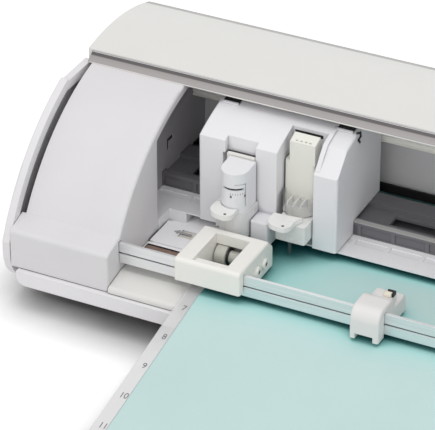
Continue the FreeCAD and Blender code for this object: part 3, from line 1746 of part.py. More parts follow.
def all_pieces():
    """Every piece by its node name."""
    right_panel = side_panel()
    right_track = lid_track()
    left_housing = roller_housing()
    left_wheel = pinch_wheel()
    pieces = {
        "base_tray": base_tray(),
        "rubber_feet": rubber_feet(),
        "left_side_panel": mirrored(right_panel),
        "right_side_panel": right_panel,
        "left_lid_track": mirrored(right_track),
        "right_lid_track": right_track,
        "left_tower_cover": mirrored(tower_cover(False)),
        "right_tower_cover": tower_cover(True),
        "top_cover": top_cover(),
        "rear_cover": rear_cover(),
        "rear_lower_cover": rear_lower_cover(),
        "back_panel": back_panel(),
        "left_frame_plate": frame_plate(True),
        "right_frame_plate": frame_plate(False),
        "platform": platform(),
        "cutting_strip": cutting_strip(),
        "paper_guide": paper_guide(),
        "carriage_rail": carriage_rail(),
        "roller_bar": roller_bar(),
        "feed_roller": feed_roller(),
        "feed_bushes": feed_bushes(),
        "feed_gear": feed_gear(),
        "feed_pinion": feed_pinion(),
        "feed_motor": feed_motor(),
        "left_roller_housing": left_housing,
        "right_roller_housing": mirrored(left_housing),
        "middle_roller_housing": middle_roller_housing(),
        "left_pinch_wheel": left_wheel,
        "right_pinch_wheel": mirrored(left_wheel),
        "middle_pinch_wheel": middle_pinch_wheel(),
        "mat_carrier": mat_carrier(),
        "mat_face": mat_face(),
        "lid_front_leaf": lid_front_leaf(),
        "lid_handle_rail": lid_handle_rail(),
        "lid_rear_leaf": lid_rear_leaf(),
        "carriage_cover": carriage_cover(),
        "carriage_frame": carriage_frame(),
        "carriage_sliders": carriage_sliders(),
        "belt_clamp": belt_clamp(),
        "left_tool_holder": left_tool_holder(),
        "right_tool_holder": right_tool_holder(),
        "left_latch": left_latch(),
        "right_latch": right_latch(),
        "blade_housing": blade_housing(),
        "square_tool": square_tool(),
        "drive_belt": drive_belt(),
        "motor_pulley": pulley(pulley_x),
        "idler_pulley": pulley(-pulley_x),
        "carriage_motor": carriage_motor(),
        "idler_bracket": idler_bracket(),
        "circuit_board": circuit_board(),
        "button_board": button_board(),
        "data_socket": data_socket(),
        "power_socket": power_socket(),
        "drawer": drawer(),
    }
    for name, x in zip(("power_button", "pause_button", "load_button", "unload_button"), button_places()):
        pieces[name] = button(x)
    return pieces


def main():
    """Write each piece about the middle of the whole part's footprint."""
    os.makedirs("parts", exist_ok=True)
    for name, shape in all_pieces().items():
        shape.translate(FreeCAD.Vector(0, -middle_y, 0))
        shape.exportStep(os.path.join("parts", name + ".step"))


main()
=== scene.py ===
import bmesh
import bpy
import math
from mathutils import Matrix, Vector


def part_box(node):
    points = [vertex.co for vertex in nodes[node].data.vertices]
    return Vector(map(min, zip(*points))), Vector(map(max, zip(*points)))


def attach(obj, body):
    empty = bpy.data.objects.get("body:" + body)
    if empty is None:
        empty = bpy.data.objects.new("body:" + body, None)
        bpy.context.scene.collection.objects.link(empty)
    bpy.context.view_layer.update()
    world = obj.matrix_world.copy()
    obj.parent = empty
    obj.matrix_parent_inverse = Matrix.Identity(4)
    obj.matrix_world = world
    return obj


# A white desktop cutting machine with its lid open and a teal sheet on the mat.
# Metres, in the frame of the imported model: X to the machine's right, Y to its back, Z up.

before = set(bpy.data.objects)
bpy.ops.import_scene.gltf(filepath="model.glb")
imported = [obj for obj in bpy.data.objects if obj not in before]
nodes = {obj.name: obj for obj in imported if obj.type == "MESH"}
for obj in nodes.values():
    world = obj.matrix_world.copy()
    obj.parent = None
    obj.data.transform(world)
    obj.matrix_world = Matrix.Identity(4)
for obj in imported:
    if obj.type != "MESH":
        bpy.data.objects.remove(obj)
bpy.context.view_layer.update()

# Camera
camera_place = Vector((0.4942, -1.3090, 0.9993))
camera_azimuth = 26.3
camera_elevation = 32.0
camera_lens = 248.3
camera_sensor = 36.0

# Floor and surround
floor_size = 6.0
floor_roughness = 0.9
floor_pale = 0.86
floor_seen = 1.20
# Reach in metres of the painted contact shadow on the floor
shadow_reach = 0.036
backdrop_white = 1.0
world_strength = 0.70

# Soft boxes: place, aim, width and depth in metres, and power in watts
soft_boxes = {
    "overhead": ((-0.1, -0.35, 1.6), (-0.1, 0.0, 0.0), (1.4, 0.9), 6.6),
    "front": ((0.35, -1.7, 1.25), (-0.1, 0.0, 0.05), (1.4, 1.2), 6.6),
}

# Finish
noise_span = (0.3, 0.7)
bevel_samples = 4

# Tints along a part: metres on one axis and a colour
# Painted shade on the top cover: a little darker at the front, much darker along its far rounded edge
cover_shade_bands = (
    (0.0857, "E1E0DD"), (0.1500, "E6E5E2"), (0.1585, "E6E5E2"), (0.1605, "B3B1AE"), (0.1650, "B3B1AE"),
)
# Painted light and shade on the platform: darker on the front apron, paler from the home pad back
bed_light_and_shade_bands = ((-0.022, "E0DFDC"), (0.005, "E0DFDC"), (0.030, "FAF9FB"), (0.163, "FAF9FB"))
tool_bands = ((0.0404, "3C4446"), (0.0490, "3C4446"), (0.0494, "ECEBE3"), (0.1090, "ECEBE3"))
slider_bands = ((0.0800, "E6E5E8"), (0.0818, "E6E5E8"), (0.0821, "2A2A2C"), (0.0860, "2A2A2C"))
# Painted shade on the lid's handle: darker towards its top under the cover's edge, with a dark line at the
# top
handle_shade_bands = ((0.1169, "A9A5A4"), (0.1197, "9A9594"), (0.1200, "565152"), (0.1211, "565152"))

# Painted shade in corners, seams and under things: colour, reach in metres, and the open share at full tone
# and at none
sheet_painted_shades = (("8EDFDA", 0.09, 0.15, 0.90), ("00494F", 0.07, 0.10, 0.55))
seam_painted_shades = {
    "bed": ("3A393C", 0.005, 0.12, 0.66),
    "tower": ("4A494D", 0.003, 0.10, 0.62),
    "drawer": ("4A494D", 0.004, 0.10, 0.62),
    "bar": ("B0B0B3", 0.003, 0.10, 0.50),
    "carriage": ("8A898F", 0.005, 0.15, 0.75),
}

# Painted highlight along the front edge of the top of the carriage rail
lip_highlight_colour = "AAA8A6"
lip_start = (-0.180, -0.170)
lip_depth = 0.0030
lip_drop = 0.0011
lip_fade = 0.0004

# Clear plastic: the mat's margin along Y, and the right tool's tray by height
margin_clears = (-0.075, -0.038)
margin_alpha = (0.88, 0.58)
tray_fade = 0.0003
tray_alpha = (1.0, 0.35)
tray_rim = (0.0690, 0.0705)
tray_rim_share = 0.35

# Shared by the small pieces
ink_lift = 0.00002
far_away = 1.0
round_steps = 3
wire_sides = 12
weld_distance = 1e-7

# Printed marks on the mat's left margin
inch = 0.0254
mat_slope = math.radians(10.6)
mat_numbers = range(7, 13)
known_number = 8
known_number_y = -0.049
number_x = -0.1625
number_height = 0.0046
number_width = 0.85
digit_share = 0.72
edge_line = (-0.1596, -0.1593)
edge_line_span = (-0.156, 0.028)
edge_line_steps = 46

# Blade housing marks: drops below the housing's top, and turns in degrees to the right of its front
window_drop = (0.0120, 0.0106)
window_turn = (-27.0, 56.0)
window_sink = 0.0008
tick_drop = (0.0149, 0.0139)
tick_turns = (4.0, 14.0, 24.0, 34.0, 44.0, 54.0, 64.0)
tick_half_turn = 0.9
dial_drop = (0.0170, 0.0153)
dial_turns = (6.0, 64.0)
dial_half_turn = 3.6
patch_turn = 4.0

# Roller units
pinch_ring_x = 0.1562
pinch_ring_radius = 0.0046
pinch_ring_wire = 0.0008
boss_places = ((0.0217, 0.0466), (0.0121, 0.0466))
# Painted shade in the boss holes: dark discs set into each hole
boss_hole_radius = 0.0015
boss_hole_sink = 0.0005
boss_hole_taper = 0.98
clip_spans = ((-0.0520, -0.0472), (0.0085, 0.0125))
clip_height = 0.0018
clip_round = 0.0003
# Painted shade of the slot round the clip: the dark slab's wall and height
slot_shade_wall = 0.0012
slot_shade_height = 0.0024

# Tool carriage
latch_pips = {"left_latch": (-0.1617, 0.0278), "right_latch": (-0.1284, 0.0367)}
pip_radius = 0.00085
pip_height = 0.0004
pip_taper = 0.9
contact_row = (-0.13335, -0.13045, -0.12755, -0.12465)
contact_y = 0.0657
contact_radius = 0.00034
contact_height = 0.0003
contact_taper = 0.9
hook_path = ((0.0805, 0.1122), (0.0856, 0.1098), (0.0862, 0.1072), (0.0830, 0.1062), (0.0850, 0.1038))
hook_half = 0.0006
hook_depth = 0.0006
ledge_spans = ((-0.1735, -0.1550), (0.0540, 0.0565), (0.0880, 0.0946))
ledge_round = 0.0005
rib_x = (-0.1171, -0.1142)
rib_span = (0.0560, 0.0840)
rib_steps = 26
rib_height = 0.0011
rib_rise = 0.25
rib_sink = 0.0001
# Painted shade of the gap above the square tool's head: spans on X and Z
pocket_shade_spans = ((-0.1395, -0.1213), (0.1050, 0.1074))
fin_places = (-0.1345, -0.1300, -0.1255)
fin_half = 0.0005
fin_span = (0.0640, 0.0702)
fin_round = 0.0002
tray_wall = 0.0013

# Frame and casing
slot_strokes = (((0.087, 0.095), (0.0685, 0.071)), ((0.087, 0.0895), (0.063, 0.0685)))
slot_shade_x = 0.2306
slot_shade_depth = 0.0002
guide_rail_half = 0.2295
guide_rail_profile = (
    (0.1390, 0.0840), (0.1230, 0.0840), (0.1212, 0.0848), (0.1208, 0.0860), (0.1219, 0.0867),
    (0.1219, 0.0873), (0.1210, 0.0879), (0.1208, 0.0893), (0.1222, 0.0904), (0.1240, 0.0910),
    (0.1390, 0.0910),
)
bead_wire = 0.0007
bead_inset = 0.0006
screw_places = (
    (-0.255, 0.012), (0.255, 0.012), (-0.255, 0.150), (0.255, 0.150), (0.0, 0.012), (0.0, 0.150),
)
screw_radius = 0.0032
screw_height = 0.0008
screw_sink = 0.0002
screw_rim = 0.5
screw_crown = 0.8
cross_reach = 0.0017
cross_half = 0.0004

# Signs: the buttons' in shares of their size, the arc in degrees
icon_size = 0.0019
icon_stroke = 0.0006
icon_height = 0.00008
triangle_foot = 0.5
pause_offset = 0.6
stem_reach = 1.2
arc_start = 130
arc_turn = 280
arc_steps = 20
home_arrow = ((-0.2045, -0.1925), 0.0455)
home_arrow_head = 0.0038
home_arrow_half = 0.0011
home_arrow_spread = 0.7


def colour(code):
    """Linear colour from a six-digit sRGB code."""
    parts = [int(code[i:i + 2], 16) / 255 for i in (0, 2, 4)]
    return tuple(v / 12.92 if v <= 0.04045 else ((v + 0.055) / 1.055) ** 2.4 for v in parts) + (1.0,)


# Materials


class Surface:
    """A principled material under construction."""

    def __init__(self, name, base, roughness):
        self.material = bpy.data.materials.new(name)
        self.material.use_nodes = True
        self.tree = self.material.node_tree
        self.shader = self.tree.nodes["Principled BSDF"]
        self.base = base
        self.roughness = roughness
        self.set("Base Color", base)
        self.set("Roughness", roughness)
        self.place = self.add("ShaderNodeTexCoord").outputs["Object"]
        self.normal = None

    def add(self, kind):
        """New node."""
        return self.tree.nodes.new(kind)

    def link(self, out, socket):
        """Join an output to an input."""
        self.tree.links.new(out, socket)

    def set(self, socket, value):
        """Constant on the shader."""
        self.shader.inputs[socket].default_value = value

    def stretched(self, scale):
        """Object coordinates scaled by axis."""
        mapping = self.add("ShaderNodeMapping")
        mapping.inputs["Scale"].default_value = scale
        self.link(self.place, mapping.inputs["Vector"])
        return mapping.outputs["Vector"]

    def noise(self, size, detail=2.0, stretch=None):
        """Noise whose features measure about size metres."""
        noise = self.add("ShaderNodeTexNoise")
        noise.inputs["Scale"].default_value = 1.0 / size
        noise.inputs["Detail"].default_value = detail
        self.link(self.stretched(stretch) if stretch else self.place, noise.inputs["Vector"])
        return noise.outputs["Fac"]

    def spread(self, value, span, values):
        """Value moved from one span of numbers to another."""
        spread = self.add("ShaderNodeMapRange")
        spread.inputs["From Min"].default_value = span[0]
        spread.inputs["From Max"].default_value = span[1]
        spread.inputs["To Min"].default_value = values[0]
        spread.inputs["To Max"].default_value = values[1]
        self.link(value, spread.inputs["Value"])
        return spread.outputs["Result"]

    def mottle(self, amount, size, detail=3.0, stretch=None):
        """Lighter and darker cloudy patches of the base colour."""
        mix = self.add("ShaderNodeMix")
        mix.data_type = "RGBA"
        dark = tuple(v * (1 - amount) for v in self.base[:3]) + (1.0,)
        light = tuple(min(1.0, v * (1 + amount)) for v in self.base[:3]) + (1.0,)
        mix.inputs["A"].default_value = dark
        mix.inputs["B"].default_value = light
        noise = self.noise(size, detail, stretch)
        self.link(self.spread(noise, noise_span, (0.0, 1.0)), mix.inputs["Factor"])
        self.link(mix.outputs["Result"], self.shader.inputs["Base Color"])
        return self

    def worn(self, amount, size, stretch=None):
        """Roughness that varies about its mean."""
        values = (self.roughness - amount, self.roughness + amount)
        noise = self.noise(size, detail=4.0, stretch=stretch)
        self.link(self.spread(noise, noise_span, values), self.shader.inputs["Roughness"])
        return self

    def bump(self, height, size, detail=2.0, stretch=None):
        """Surface relief on top of what is there."""
        bump = self.add("ShaderNodeBump")
        bump.inputs["Strength"].default_value = 1.0
        bump.inputs["Distance"].default_value = height
        self.link(self.noise(size, detail, stretch), bump.inputs["Height"])
        if self.normal:
            self.link(self.normal, bump.inputs["Normal"])
        self.normal = bump.outputs["Normal"]
        self.link(self.normal, self.shader.inputs["Normal"])
        return self

    def along(self, axis, span, values):
        """Value that runs from the first to the second between two places on an axis of the object."""
        split = self.add("ShaderNodeSeparateXYZ")
        self.link(self.place, split.inputs["Vector"])
        return self.spread(split.outputs[axis], span, values)

    def product(self, first, second):
        """Product of two outputs."""
        times = self.add("ShaderNodeMath")
        times.operation = "MULTIPLY"
        self.link(first, times.inputs[0])
        self.link(second, times.inputs[1])
        return times.outputs[0]

    def tint(self, factor, blend="MIX"):
        """Mix over the present base colour by a factor; gives back the input for the second colour."""
        mix = self.add("ShaderNodeMix")
        mix.data_type = "RGBA"
        mix.blend_type = blend
        if factor is None:
            mix.inputs["Factor"].default_value = 1.0
        else:
            self.link(factor, mix.inputs["Factor"])
        self.link(self.shader.inputs["Base Color"].links[0].from_socket, mix.inputs["A"])
        self.link(mix.outputs["Result"], self.shader.inputs["Base Color"])
        return mix.inputs["B"]

    def banded(self, axis, stops):
        """Tint along one axis of the object, blended between (place, code) stops."""
        span = (stops[0][0], stops[-1][0])
        ramp = self.add("ShaderNodeValToRGB")
        steps = ramp.color_ramp.elements
        while len(steps) < len(stops):
            steps.new(0.5)
        for step, (place, code) in zip(steps, stops):
            step.position = (place - span[0]) / (span[1] - span[0])
            step.color = colour(code)
        self.link(self.along(axis, span, (0.0, 1.0)), ramp.inputs["Fac"])
        self.link(ramp.outputs["Color"], self.tint(None, "MULTIPLY"))
        return self

    def deep_shade(self, code, reach, low, high):
        """Painted shade: deeper colour where other things stand close to the surface."""
        shade = self.add("ShaderNodeAmbientOcclusion")
        shade.inputs["Distance"].default_value = reach
        factor = self.spread(shade.outputs["AO"], (low, high), (1.0, 0.0))
        self.tint(factor).default_value = colour(code)

    def light_lip(self):
        """Painted highlight: paler front edge along the top of the rail, from the carriage's home to the
        right.
        """
        low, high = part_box("carriage_rail")
        front = self.along("Y", (low.y + lip_depth, low.y + lip_depth + lip_fade), (1.0, 0.0))
        top = self.along("Z", (high.z - lip_drop, high.z - lip_drop + lip_fade), (0.0, 1.0))
        right = self.along("X", lip_start, (0.0, 1.0))
        factor = self.product(self.product(front, top), right)
        self.tint(factor).default_value = colour(lip_highlight_colour)

    def soft_edges(self, radius):
        """Slightly rounded look of moulded edges."""
        bevel = self.add("ShaderNodeBevel")
        bevel.samples = bevel_samples
        bevel.inputs["Radius"].default_value = radius
        self.normal = bevel.outputs["Normal"]
        self.link(self.normal, self.shader.inputs["Normal"])
        return self


def moulded(name, code, roughness=0.5, grain=0.00002, edge=0.0005):
    """Fine-textured moulded plastic."""
    surface = Surface(name, colour(code), roughness)
    surface.soft_edges(edge).bump(height=grain, size=0.0007)
    surface.mottle(amount=0.015, size=0.03).worn(amount=0.06, size=0.012)
    return surface


def glossy(name, code, roughness=0.25, edge=0.0005):
    """Smooth plastic with a soft shine."""
    surface = Surface(name, colour(code), roughness)
    surface.soft_edges(edge).bump(height=0.00001, size=0.004)
    surface.mottle(amount=0.012, size=0.05).worn(amount=0.05, size=0.02)
    surface.set("Coat Weight", 0.15)
    surface.set("Coat Roughness", 0.2)
    return surface


def metal(name, code, roughness, stretch=(0.02, 1.0, 1.0)):
    """Metal with fine lines along the axis that is stretched."""
    surface = Surface(name, colour(code), roughness)
    surface.set("Metallic", 1.0)
    surface.soft_edges(radius=0.0003).bump(height=0.00001, size=0.0006, stretch=stretch)
    surface.mottle(amount=0.05, size=0.001, detail=2.0, stretch=stretch)
    surface.worn(amount=0.08, size=0.0015, stretch=stretch)
    return surface


def rubbery(name, code, roughness=0.8):
    """Dull rubber with a fine tooth."""
    surface = Surface(name, colour(code), roughness)
    surface.soft_edges(radius=0.0004).bump(height=0.00006, size=0.0006, detail=4.0)
    surface.mottle(amount=0.12, size=0.004).worn(amount=0.08, size=0.006)
    return surface


def make_materials():
    """Every material by name."""
    made = {
        "casing": moulded("casing", "E3E1E3", 0.45),
        "drawer": moulded("drawer", "E9E7E9", 0.45),
        "saddle": moulded("saddle", "E2E0DE", 0.42),
        "tower": moulded("tower", "DCDADC", 0.42),
        "cover": moulded("cover", "FFFFFF", 0.38).banded("Y", cover_shade_bands),
        "track": moulded("track", "232227", 0.6),
        "plate": moulded("plate", "B4B1B5", 0.55),
        "back_wall": moulded("back_wall", "E0DFE1", 0.5),
        "bed": moulded("bed", "FFFFFF", 0.45).banded("Y", bed_light_and_shade_bands),
        "strip": glossy("strip", "DDDAD0", 0.3),
        "guide": moulded("guide", "ECEBED", 0.45),
        "rail": moulded("rail", "6E6C70", 0.45),
        "bar": metal("bar", "ECEDEE", 0.42),
        "feed": rubbery("feed", "8A7468", 0.75),
        "bush": metal("bush", "B99A5E", 0.35, (1.0, 1.0, 1.0)),
        "gear": glossy("gear", "E6E2D4", 0.4),
        "motor": metal("motor", "B5B5B8", 0.35, (0.05, 1.0, 1.0)),
        "unit": moulded("unit", "EDEBE6", 0.4),
        "wheel": rubbery("wheel", "BDBDB4", 0.6),
        "mat_margin": moulded("mat_margin", "E8E7E8", 0.5, 0.00001),
        "sheet": Surface("sheet", colour("C2DBD9"), 0.75),
        "lid": glossy("lid", "D6D6D8", 0.2),
        "handle": moulded("handle", "FFFFFF", 0.4).banded("Z", handle_shade_bands),
        "handle_lip": glossy("handle_lip", "E4E1DE", 0.3),
        "guide_rail": moulded("guide_rail", "F8F5EE", 0.45),
        "carriage": moulded("carriage", "E8E7EA", 0.42),
        "carriage_core": moulded("carriage_core", "4A494D", 0.6),
        "slider": moulded("slider", "FFFFFF", 0.42).banded("Y", slider_bands),
        "tool": moulded("tool", "FFFFFF", 0.4).banded("Z", tool_bands),
        "blade": moulded("blade", "E6E6E9", 0.38),
        "latch": glossy("latch", "EAEAE8", 0.3),
        "holder": glossy("holder", "DEDEDE", 0.3),
        "tray": glossy("tray", "E4E4E2", 0.25),
        "ink": moulded("ink", "636267", 0.6),
        "mat_line": moulded("mat_line", "8A9C9D", 0.6),
        "clip": glossy("clip", "F1E9D8", 0.35),
        "dark_mark": moulded("dark_mark", "1E1E20", 0.5),
        "faint_mark": moulded("faint_mark", "A7A5A9", 0.6),
        "contact": metal("contact", "4A463E", 0.45, (1.0, 1.0, 1.0)),
        "screw": metal("screw", "9A9A9E", 0.35, (1.0, 1.0, 1.0)),
        "belt": rubbery("belt", "161616", 0.7),
        "pulley": metal("pulley", "C6C6C9", 0.3, (1.0, 1.0, 0.1)),
        "board": glossy("board", "1E5A3A", 0.35),
        "socket": moulded("socket", "232325", 0.45),
        "button": moulded("button", "B5B4B8", 0.45),
        "foot": rubbery("foot", "3C3C3E", 0.85),
    }
    sheet = made["sheet"]
    sheet.bump(height=0.00005, size=0.0009, detail=5.0, stretch=(1.0, 0.35, 1.0))
    sheet.mottle(amount=0.02, size=0.05, detail=6.0).worn(amount=0.06, size=0.01)
    sheet.set("Specular IOR Level", 0.2)
    # Painted shade on the sheet: saturated teal where it is partly shut in, dark teal under the carriage
    for shade in sheet_painted_shades:
        sheet.deep_shade(*shade)
    # Painted shade in the seams and crevices of these materials
    for name, shade in seam_painted_shades.items():
        made[name].deep_shade(*shade)
    margin = made["mat_margin"]
    margin.link(margin.along("Y", margin_clears, margin_alpha), margin.shader.inputs["Alpha"])
    # Painted highlight on the rail's front edge
    made["rail"].light_lip()
    tray = made["tray"]
    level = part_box("right_latch")[0].z
    wall = tray.along("Z", (level - tray_fade, level), tray_alpha)
    rim = tray.along("Z", tray_rim, (1.0, tray_rim_share))
    tray.link(tray.product(wall, rim), tray.shader.inputs["Alpha"])
    return {name: surface.material for name, surface in made.items()}


node_materials = {
    "casing": ("base_tray", "left_side_panel", "right_side_panel", "rear_cover", "rear_lower_cover"),
    "drawer": ("drawer",),
    "tower": ("left_tower_cover", "right_tower_cover"),
    "cover": ("top_cover",),
    "track": ("left_lid_track", "right_lid_track"),
    "plate": ("left_frame_plate", "right_frame_plate", "idler_bracket"),
    "back_wall": ("back_panel",),
    "bed": ("platform",),
    "strip": ("cutting_strip",),
    "guide": ("paper_guide",),
    "rail": ("carriage_rail",),
    "bar": ("roller_bar",),
    "feed": ("feed_roller",),
    "bush": ("feed_bushes", "feed_pinion"),
    "gear": ("feed_gear",),
    "motor": ("feed_motor", "carriage_motor"),
    "unit": ("left_roller_housing", "right_roller_housing"),
    "saddle": ("middle_roller_housing",),
    "wheel": ("left_pinch_wheel", "right_pinch_wheel", "middle_pinch_wheel"),
    "mat_margin": ("mat_carrier",),
    "sheet": ("mat_face",),
    "lid": ("lid_front_leaf", "lid_rear_leaf"),
    "handle": ("lid_handle_rail",),
    "carriage": ("carriage_cover",),
    "carriage_core": ("carriage_frame",),
    "slider": ("carriage_sliders", "belt_clamp"),
    "tool": ("square_tool",),
    "blade": ("blade_housing",),
    "latch": ("left_latch", "right_latch"),
    "holder": ("left_tool_holder",),
    "tray": ("right_tool_holder",),
    "belt": ("drive_belt",),
    "pulley": ("motor_pulley", "idler_pulley"),
    "board": ("circuit_board", "button_board"),
    "socket": ("data_socket", "power_socket"),
    "button": ("power_button", "pause_button", "load_button", "unload_button"),
    "foot": ("rubber_feet",),
}


def dress_nodes():
    """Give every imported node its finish."""
    for name, members in node_materials.items():
        for node in members:
            mesh = nodes[node].data
            mesh.materials.clear()
            mesh.materials.append(materials[name])


# Small pieces


def add_piece(name, shape, material, body):
    """New piece from a bmesh that rides on a body."""
    mesh = bpy.data.meshes.new(name)
    bmesh.ops.recalc_face_normals(shape, faces=shape.faces)
    shape.to_mesh(mesh)
    shape.free()
    mesh.materials.append(materials[material])
    piece = bpy.data.objects.new(name, mesh)
    bpy.context.scene.collection.objects.link(piece)
    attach(piece, body)


def middle(node):
    """Middle of a node's box."""
    low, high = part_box(node)
    return (low + high) / 2


def struck(node, start, direction):
    """Point and normal where a line from a place first meets a node."""
    return nodes[node].ray_cast(Vector(start), Vector(direction))[1:3]


def resting_on(node, x, y):
    """Point and normal of a node's top face at a place."""
    return struck(node, (x, y, far_away), (0.0, 0.0, -1.0))


def rectangle(low, high):
    """Corners of a rectangle from its low and its high corner."""
    return [low, (high[0], low[1]), high, (low[0], high[1])]


def loft(shape, rings, ends=True):
    """Form through rings of points, each with the same count, closed at both ends unless told not to."""
    rows = [[shape.verts.new(point) for point in ring] for ring in rings]
    for low, high in zip(rows, rows[1:]):
        for index in range(len(low)):
            after = (index + 1) % len(low)
            shape.faces.new((low[index], low[after], high[after], high[index]))
    if ends:
        shape.faces.new(rows[0])
        shape.faces.new(rows[-1])


def slab(shape, corners, thickness):
    """Flat plate between an outline and the same outline moved by a vector."""
    loft(shape, [corners, [Vector(corner) + thickness for corner in corners]])


def block(shape, spans, rounding):
    """Box between spans on X, Y and Z with rounded edges."""
    (x0, x1), (y0, y1), (z0, z1) = spans
    slab(shape, [(x, y, z0) for x, y in rectangle((x0, y0), (x1, y1))], Vector((0, 0, z1 - z0)))
    bmesh.ops.bevel(shape, geom=shape.edges, offset=rounding, segments=round_steps, affect="EDGES")


def revolved(shape, centre, axis, profile, segments=32, ends=True):
    """Round form from (distance along the axis, radius) pairs."""
    spin = Vector(axis).to_track_quat("Z", "Y")
    rings = []
    for along, radius in profile:
        turns = [2 * math.pi * index / segments for index in range(segments)]
        offsets = [Vector((radius * math.cos(turn), radius * math.sin(turn), along)) for turn in turns]
        rings.append([Vector(centre) + spin @ offset for offset in offsets])
    loft(shape, rings, ends)


def wire_ring(shape, centre, axis, radius, wire, segments=48):
    """Ring of round wire."""
    profile = []
    for index in range(wire_sides + 1):
        turn = 2 * math.pi * index / wire_sides
        profile.append((wire * math.sin(turn), radius + wire * math.cos(turn)))
    revolved(shape, centre, axis, profile, segments, ends=False)
    bmesh.ops.remove_doubles(shape, verts=shape.verts, dist=weld_distance)


def lettering(text, size, width):
    """Mesh of printed text about its own middle, in the XY plane."""
    curve = bpy.data.curves.new("lettering", "FONT")
    curve.body = text
    curve.size = size
    curve.align_x = "CENTER"
    curve.align_y = "CENTER"
    curve.extrude = ink_lift
    writer = bpy.data.objects.new("lettering", curve)
    mesh = bpy.data.meshes.new_from_object(writer)
    mesh.transform(Matrix.Diagonal((width, 1.0, 1.0, 1.0)))
    bpy.data.objects.remove(writer)
    bpy.data.curves.remove(curve)
    return mesh


def add_mat_numbers():
    """Inch numbers along the mat's left margin."""
    shape = bmesh.new()
    step = inch * math.cos(mat_slope)
    for number in mat_numbers:
        place, normal = resting_on("mat_carrier", number_x, known_number_y - (number - known_number) * step)
        right = Vector((1.0, 0.0, 0.0))
        up = normal.cross(right)
        turn = Matrix((right, up, normal)).transposed().to_4x4()
        mesh = lettering(str(number), number_height / digit_share, number_width)
        mesh.transform(Matrix.Translation(place + normal * ink_lift) @ turn)
        shape.from_mesh(mesh)
        bpy.data.meshes.remove(mesh)
    add_piece("mat_numbers", shape, "ink", "mat")


def add_mat_edge_line():
    """Fine dark line along the left edge of the mat's coloured face."""
    shape = bmesh.new()
    rings = []
    for index in range(edge_line_steps + 1):
        y = edge_line_span[0] + (edge_line_span[1] - edge_line_span[0]) * index / edge_line_steps
        ring = []
        for x, lift in rectangle((edge_line[0], 0.0), (edge_line[1], 2 * ink_lift)):
            place, normal = resting_on("mat_carrier", x, y)
            ring.append(place + normal * lift)
        rings.append(ring)
    loft(shape, rings)
    add_piece("mat_edge_line", shape, "mat_line", "mat")


def add_boss_holes():
    """Painted shade: a dark disc deep in each hole of the round bosses beside the outer roller units."""
    for side, sign, body in (("left", -1, "base"), ("right", 1, "right_unit")):
        low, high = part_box(side + "_roller_housing")
        x = sign * (min(abs(low.x), abs(high.x)) + boss_hole_sink)
        shape = bmesh.new()
        for y, z in boss_places:
            profile = [(0.0, boss_hole_radius), (2 * ink_lift, boss_hole_radius * boss_hole_taper)]
            revolved(shape, (x, y, z), (-sign, 0, 0), profile)
        add_piece(side + "_boss_hole_shades", shape, "dark_mark", body)


def add_hook_shades():
    """Painted shade: a dark sheet in the hook-shaped slot of each frame plate, for its depth."""
    for side, sign in (("left", -1), ("right", 1)):
        x = sign * slot_shade_x
        shape = bmesh.new()
        for (y0, y1), (z0, z1) in slot_strokes:
            corners = [(x, y, z) for y, z in rectangle((y0, z0), (y1, z1))]
            slab(shape, corners, Vector((sign * slot_shade_depth, 0, 0)))
        add_piece(side + "_hook_shade", shape, "dark_mark", "base")


def add_saddle_clip():
    """Cream clip on the middle roller's block, with a dark slab behind it and to its right as painted shade
    of the slot round it.
    """
    (x0, x1), (y0, y1) = clip_spans
    level = resting_on("middle_roller_housing", (x0 + x1) / 2, (y0 + y1) / 2)[0].z
    wall = slot_shade_wall
    outline = [(x0 + wall, y1), (x1, y1), (x1, y0 + wall)]
    outline += [(x1 + wall, y0 + wall), (x1 + wall, y1 + wall), (x0 + wall, y1 + wall)]
    shape = bmesh.new()
    slab(shape, [(x, y, level) for x, y in outline], Vector((0, 0, slot_shade_height)))
    add_piece("saddle_slot_shade", shape, "dark_mark", "middle_unit")
    shape = bmesh.new()
    block(shape, clip_spans + ((level, level + clip_height),), clip_round)
    add_piece("saddle_clip", shape, "clip", "middle_unit")


def add_guide_rail():
    """Pale two-ridged rail along the back wall, behind the carriage's top."""
    shape = bmesh.new()
    outline = [(-guide_rail_half, y, z) for y, z in guide_rail_profile]
    slab(shape, outline, Vector((2 * guide_rail_half, 0, 0)))
    add_piece("upper_guide_rail", shape, "guide_rail", "base")


def add_handle_lip():
    """Pale bead along the lower edge of the lid's handle."""
    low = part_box("lid_handle_rail")[0]
    start = (low.x + bead_wire, low.y + bead_inset, low.z)
    shape = bmesh.new()
    revolved(shape, start, (1, 0, 0), [(0.0, bead_wire), (-2 * start[0], bead_wire)], segments=16)
    add_piece("lid_handle_lip", shape, "handle_lip", "lid_front")


def add_tool_ledge():
    """Cream ledge of the left tool holder, behind the blade housing's cap."""
    shape = bmesh.new()
    block(shape, ledge_spans, ledge_round)
    add_piece("left_tool_ledge", shape, "unit", "left_tool")


def add_cheek_rib():
    """Raised rib along the inner edge of the carriage's right cheek, level with the cheek at its ends."""
    shape = bmesh.new()
    rings = []
    for index in range(rib_steps + 1):
        y = rib_span[0] + (rib_span[1] - rib_span[0]) * index / rib_steps
        height = rib_height * min(1.0, min(index, rib_steps - index) / rib_steps / rib_rise)
        ring = []
        for x, lift in rectangle((rib_x[0], -rib_sink), (rib_x[1], height)):
            place, normal = resting_on("carriage_cover", x, y)
            ring.append(place + normal * lift)
        rings.append(ring)
    loft(shape, rings)
    add_piece("carriage_cheek_rib", shape, "carriage", "carriage")


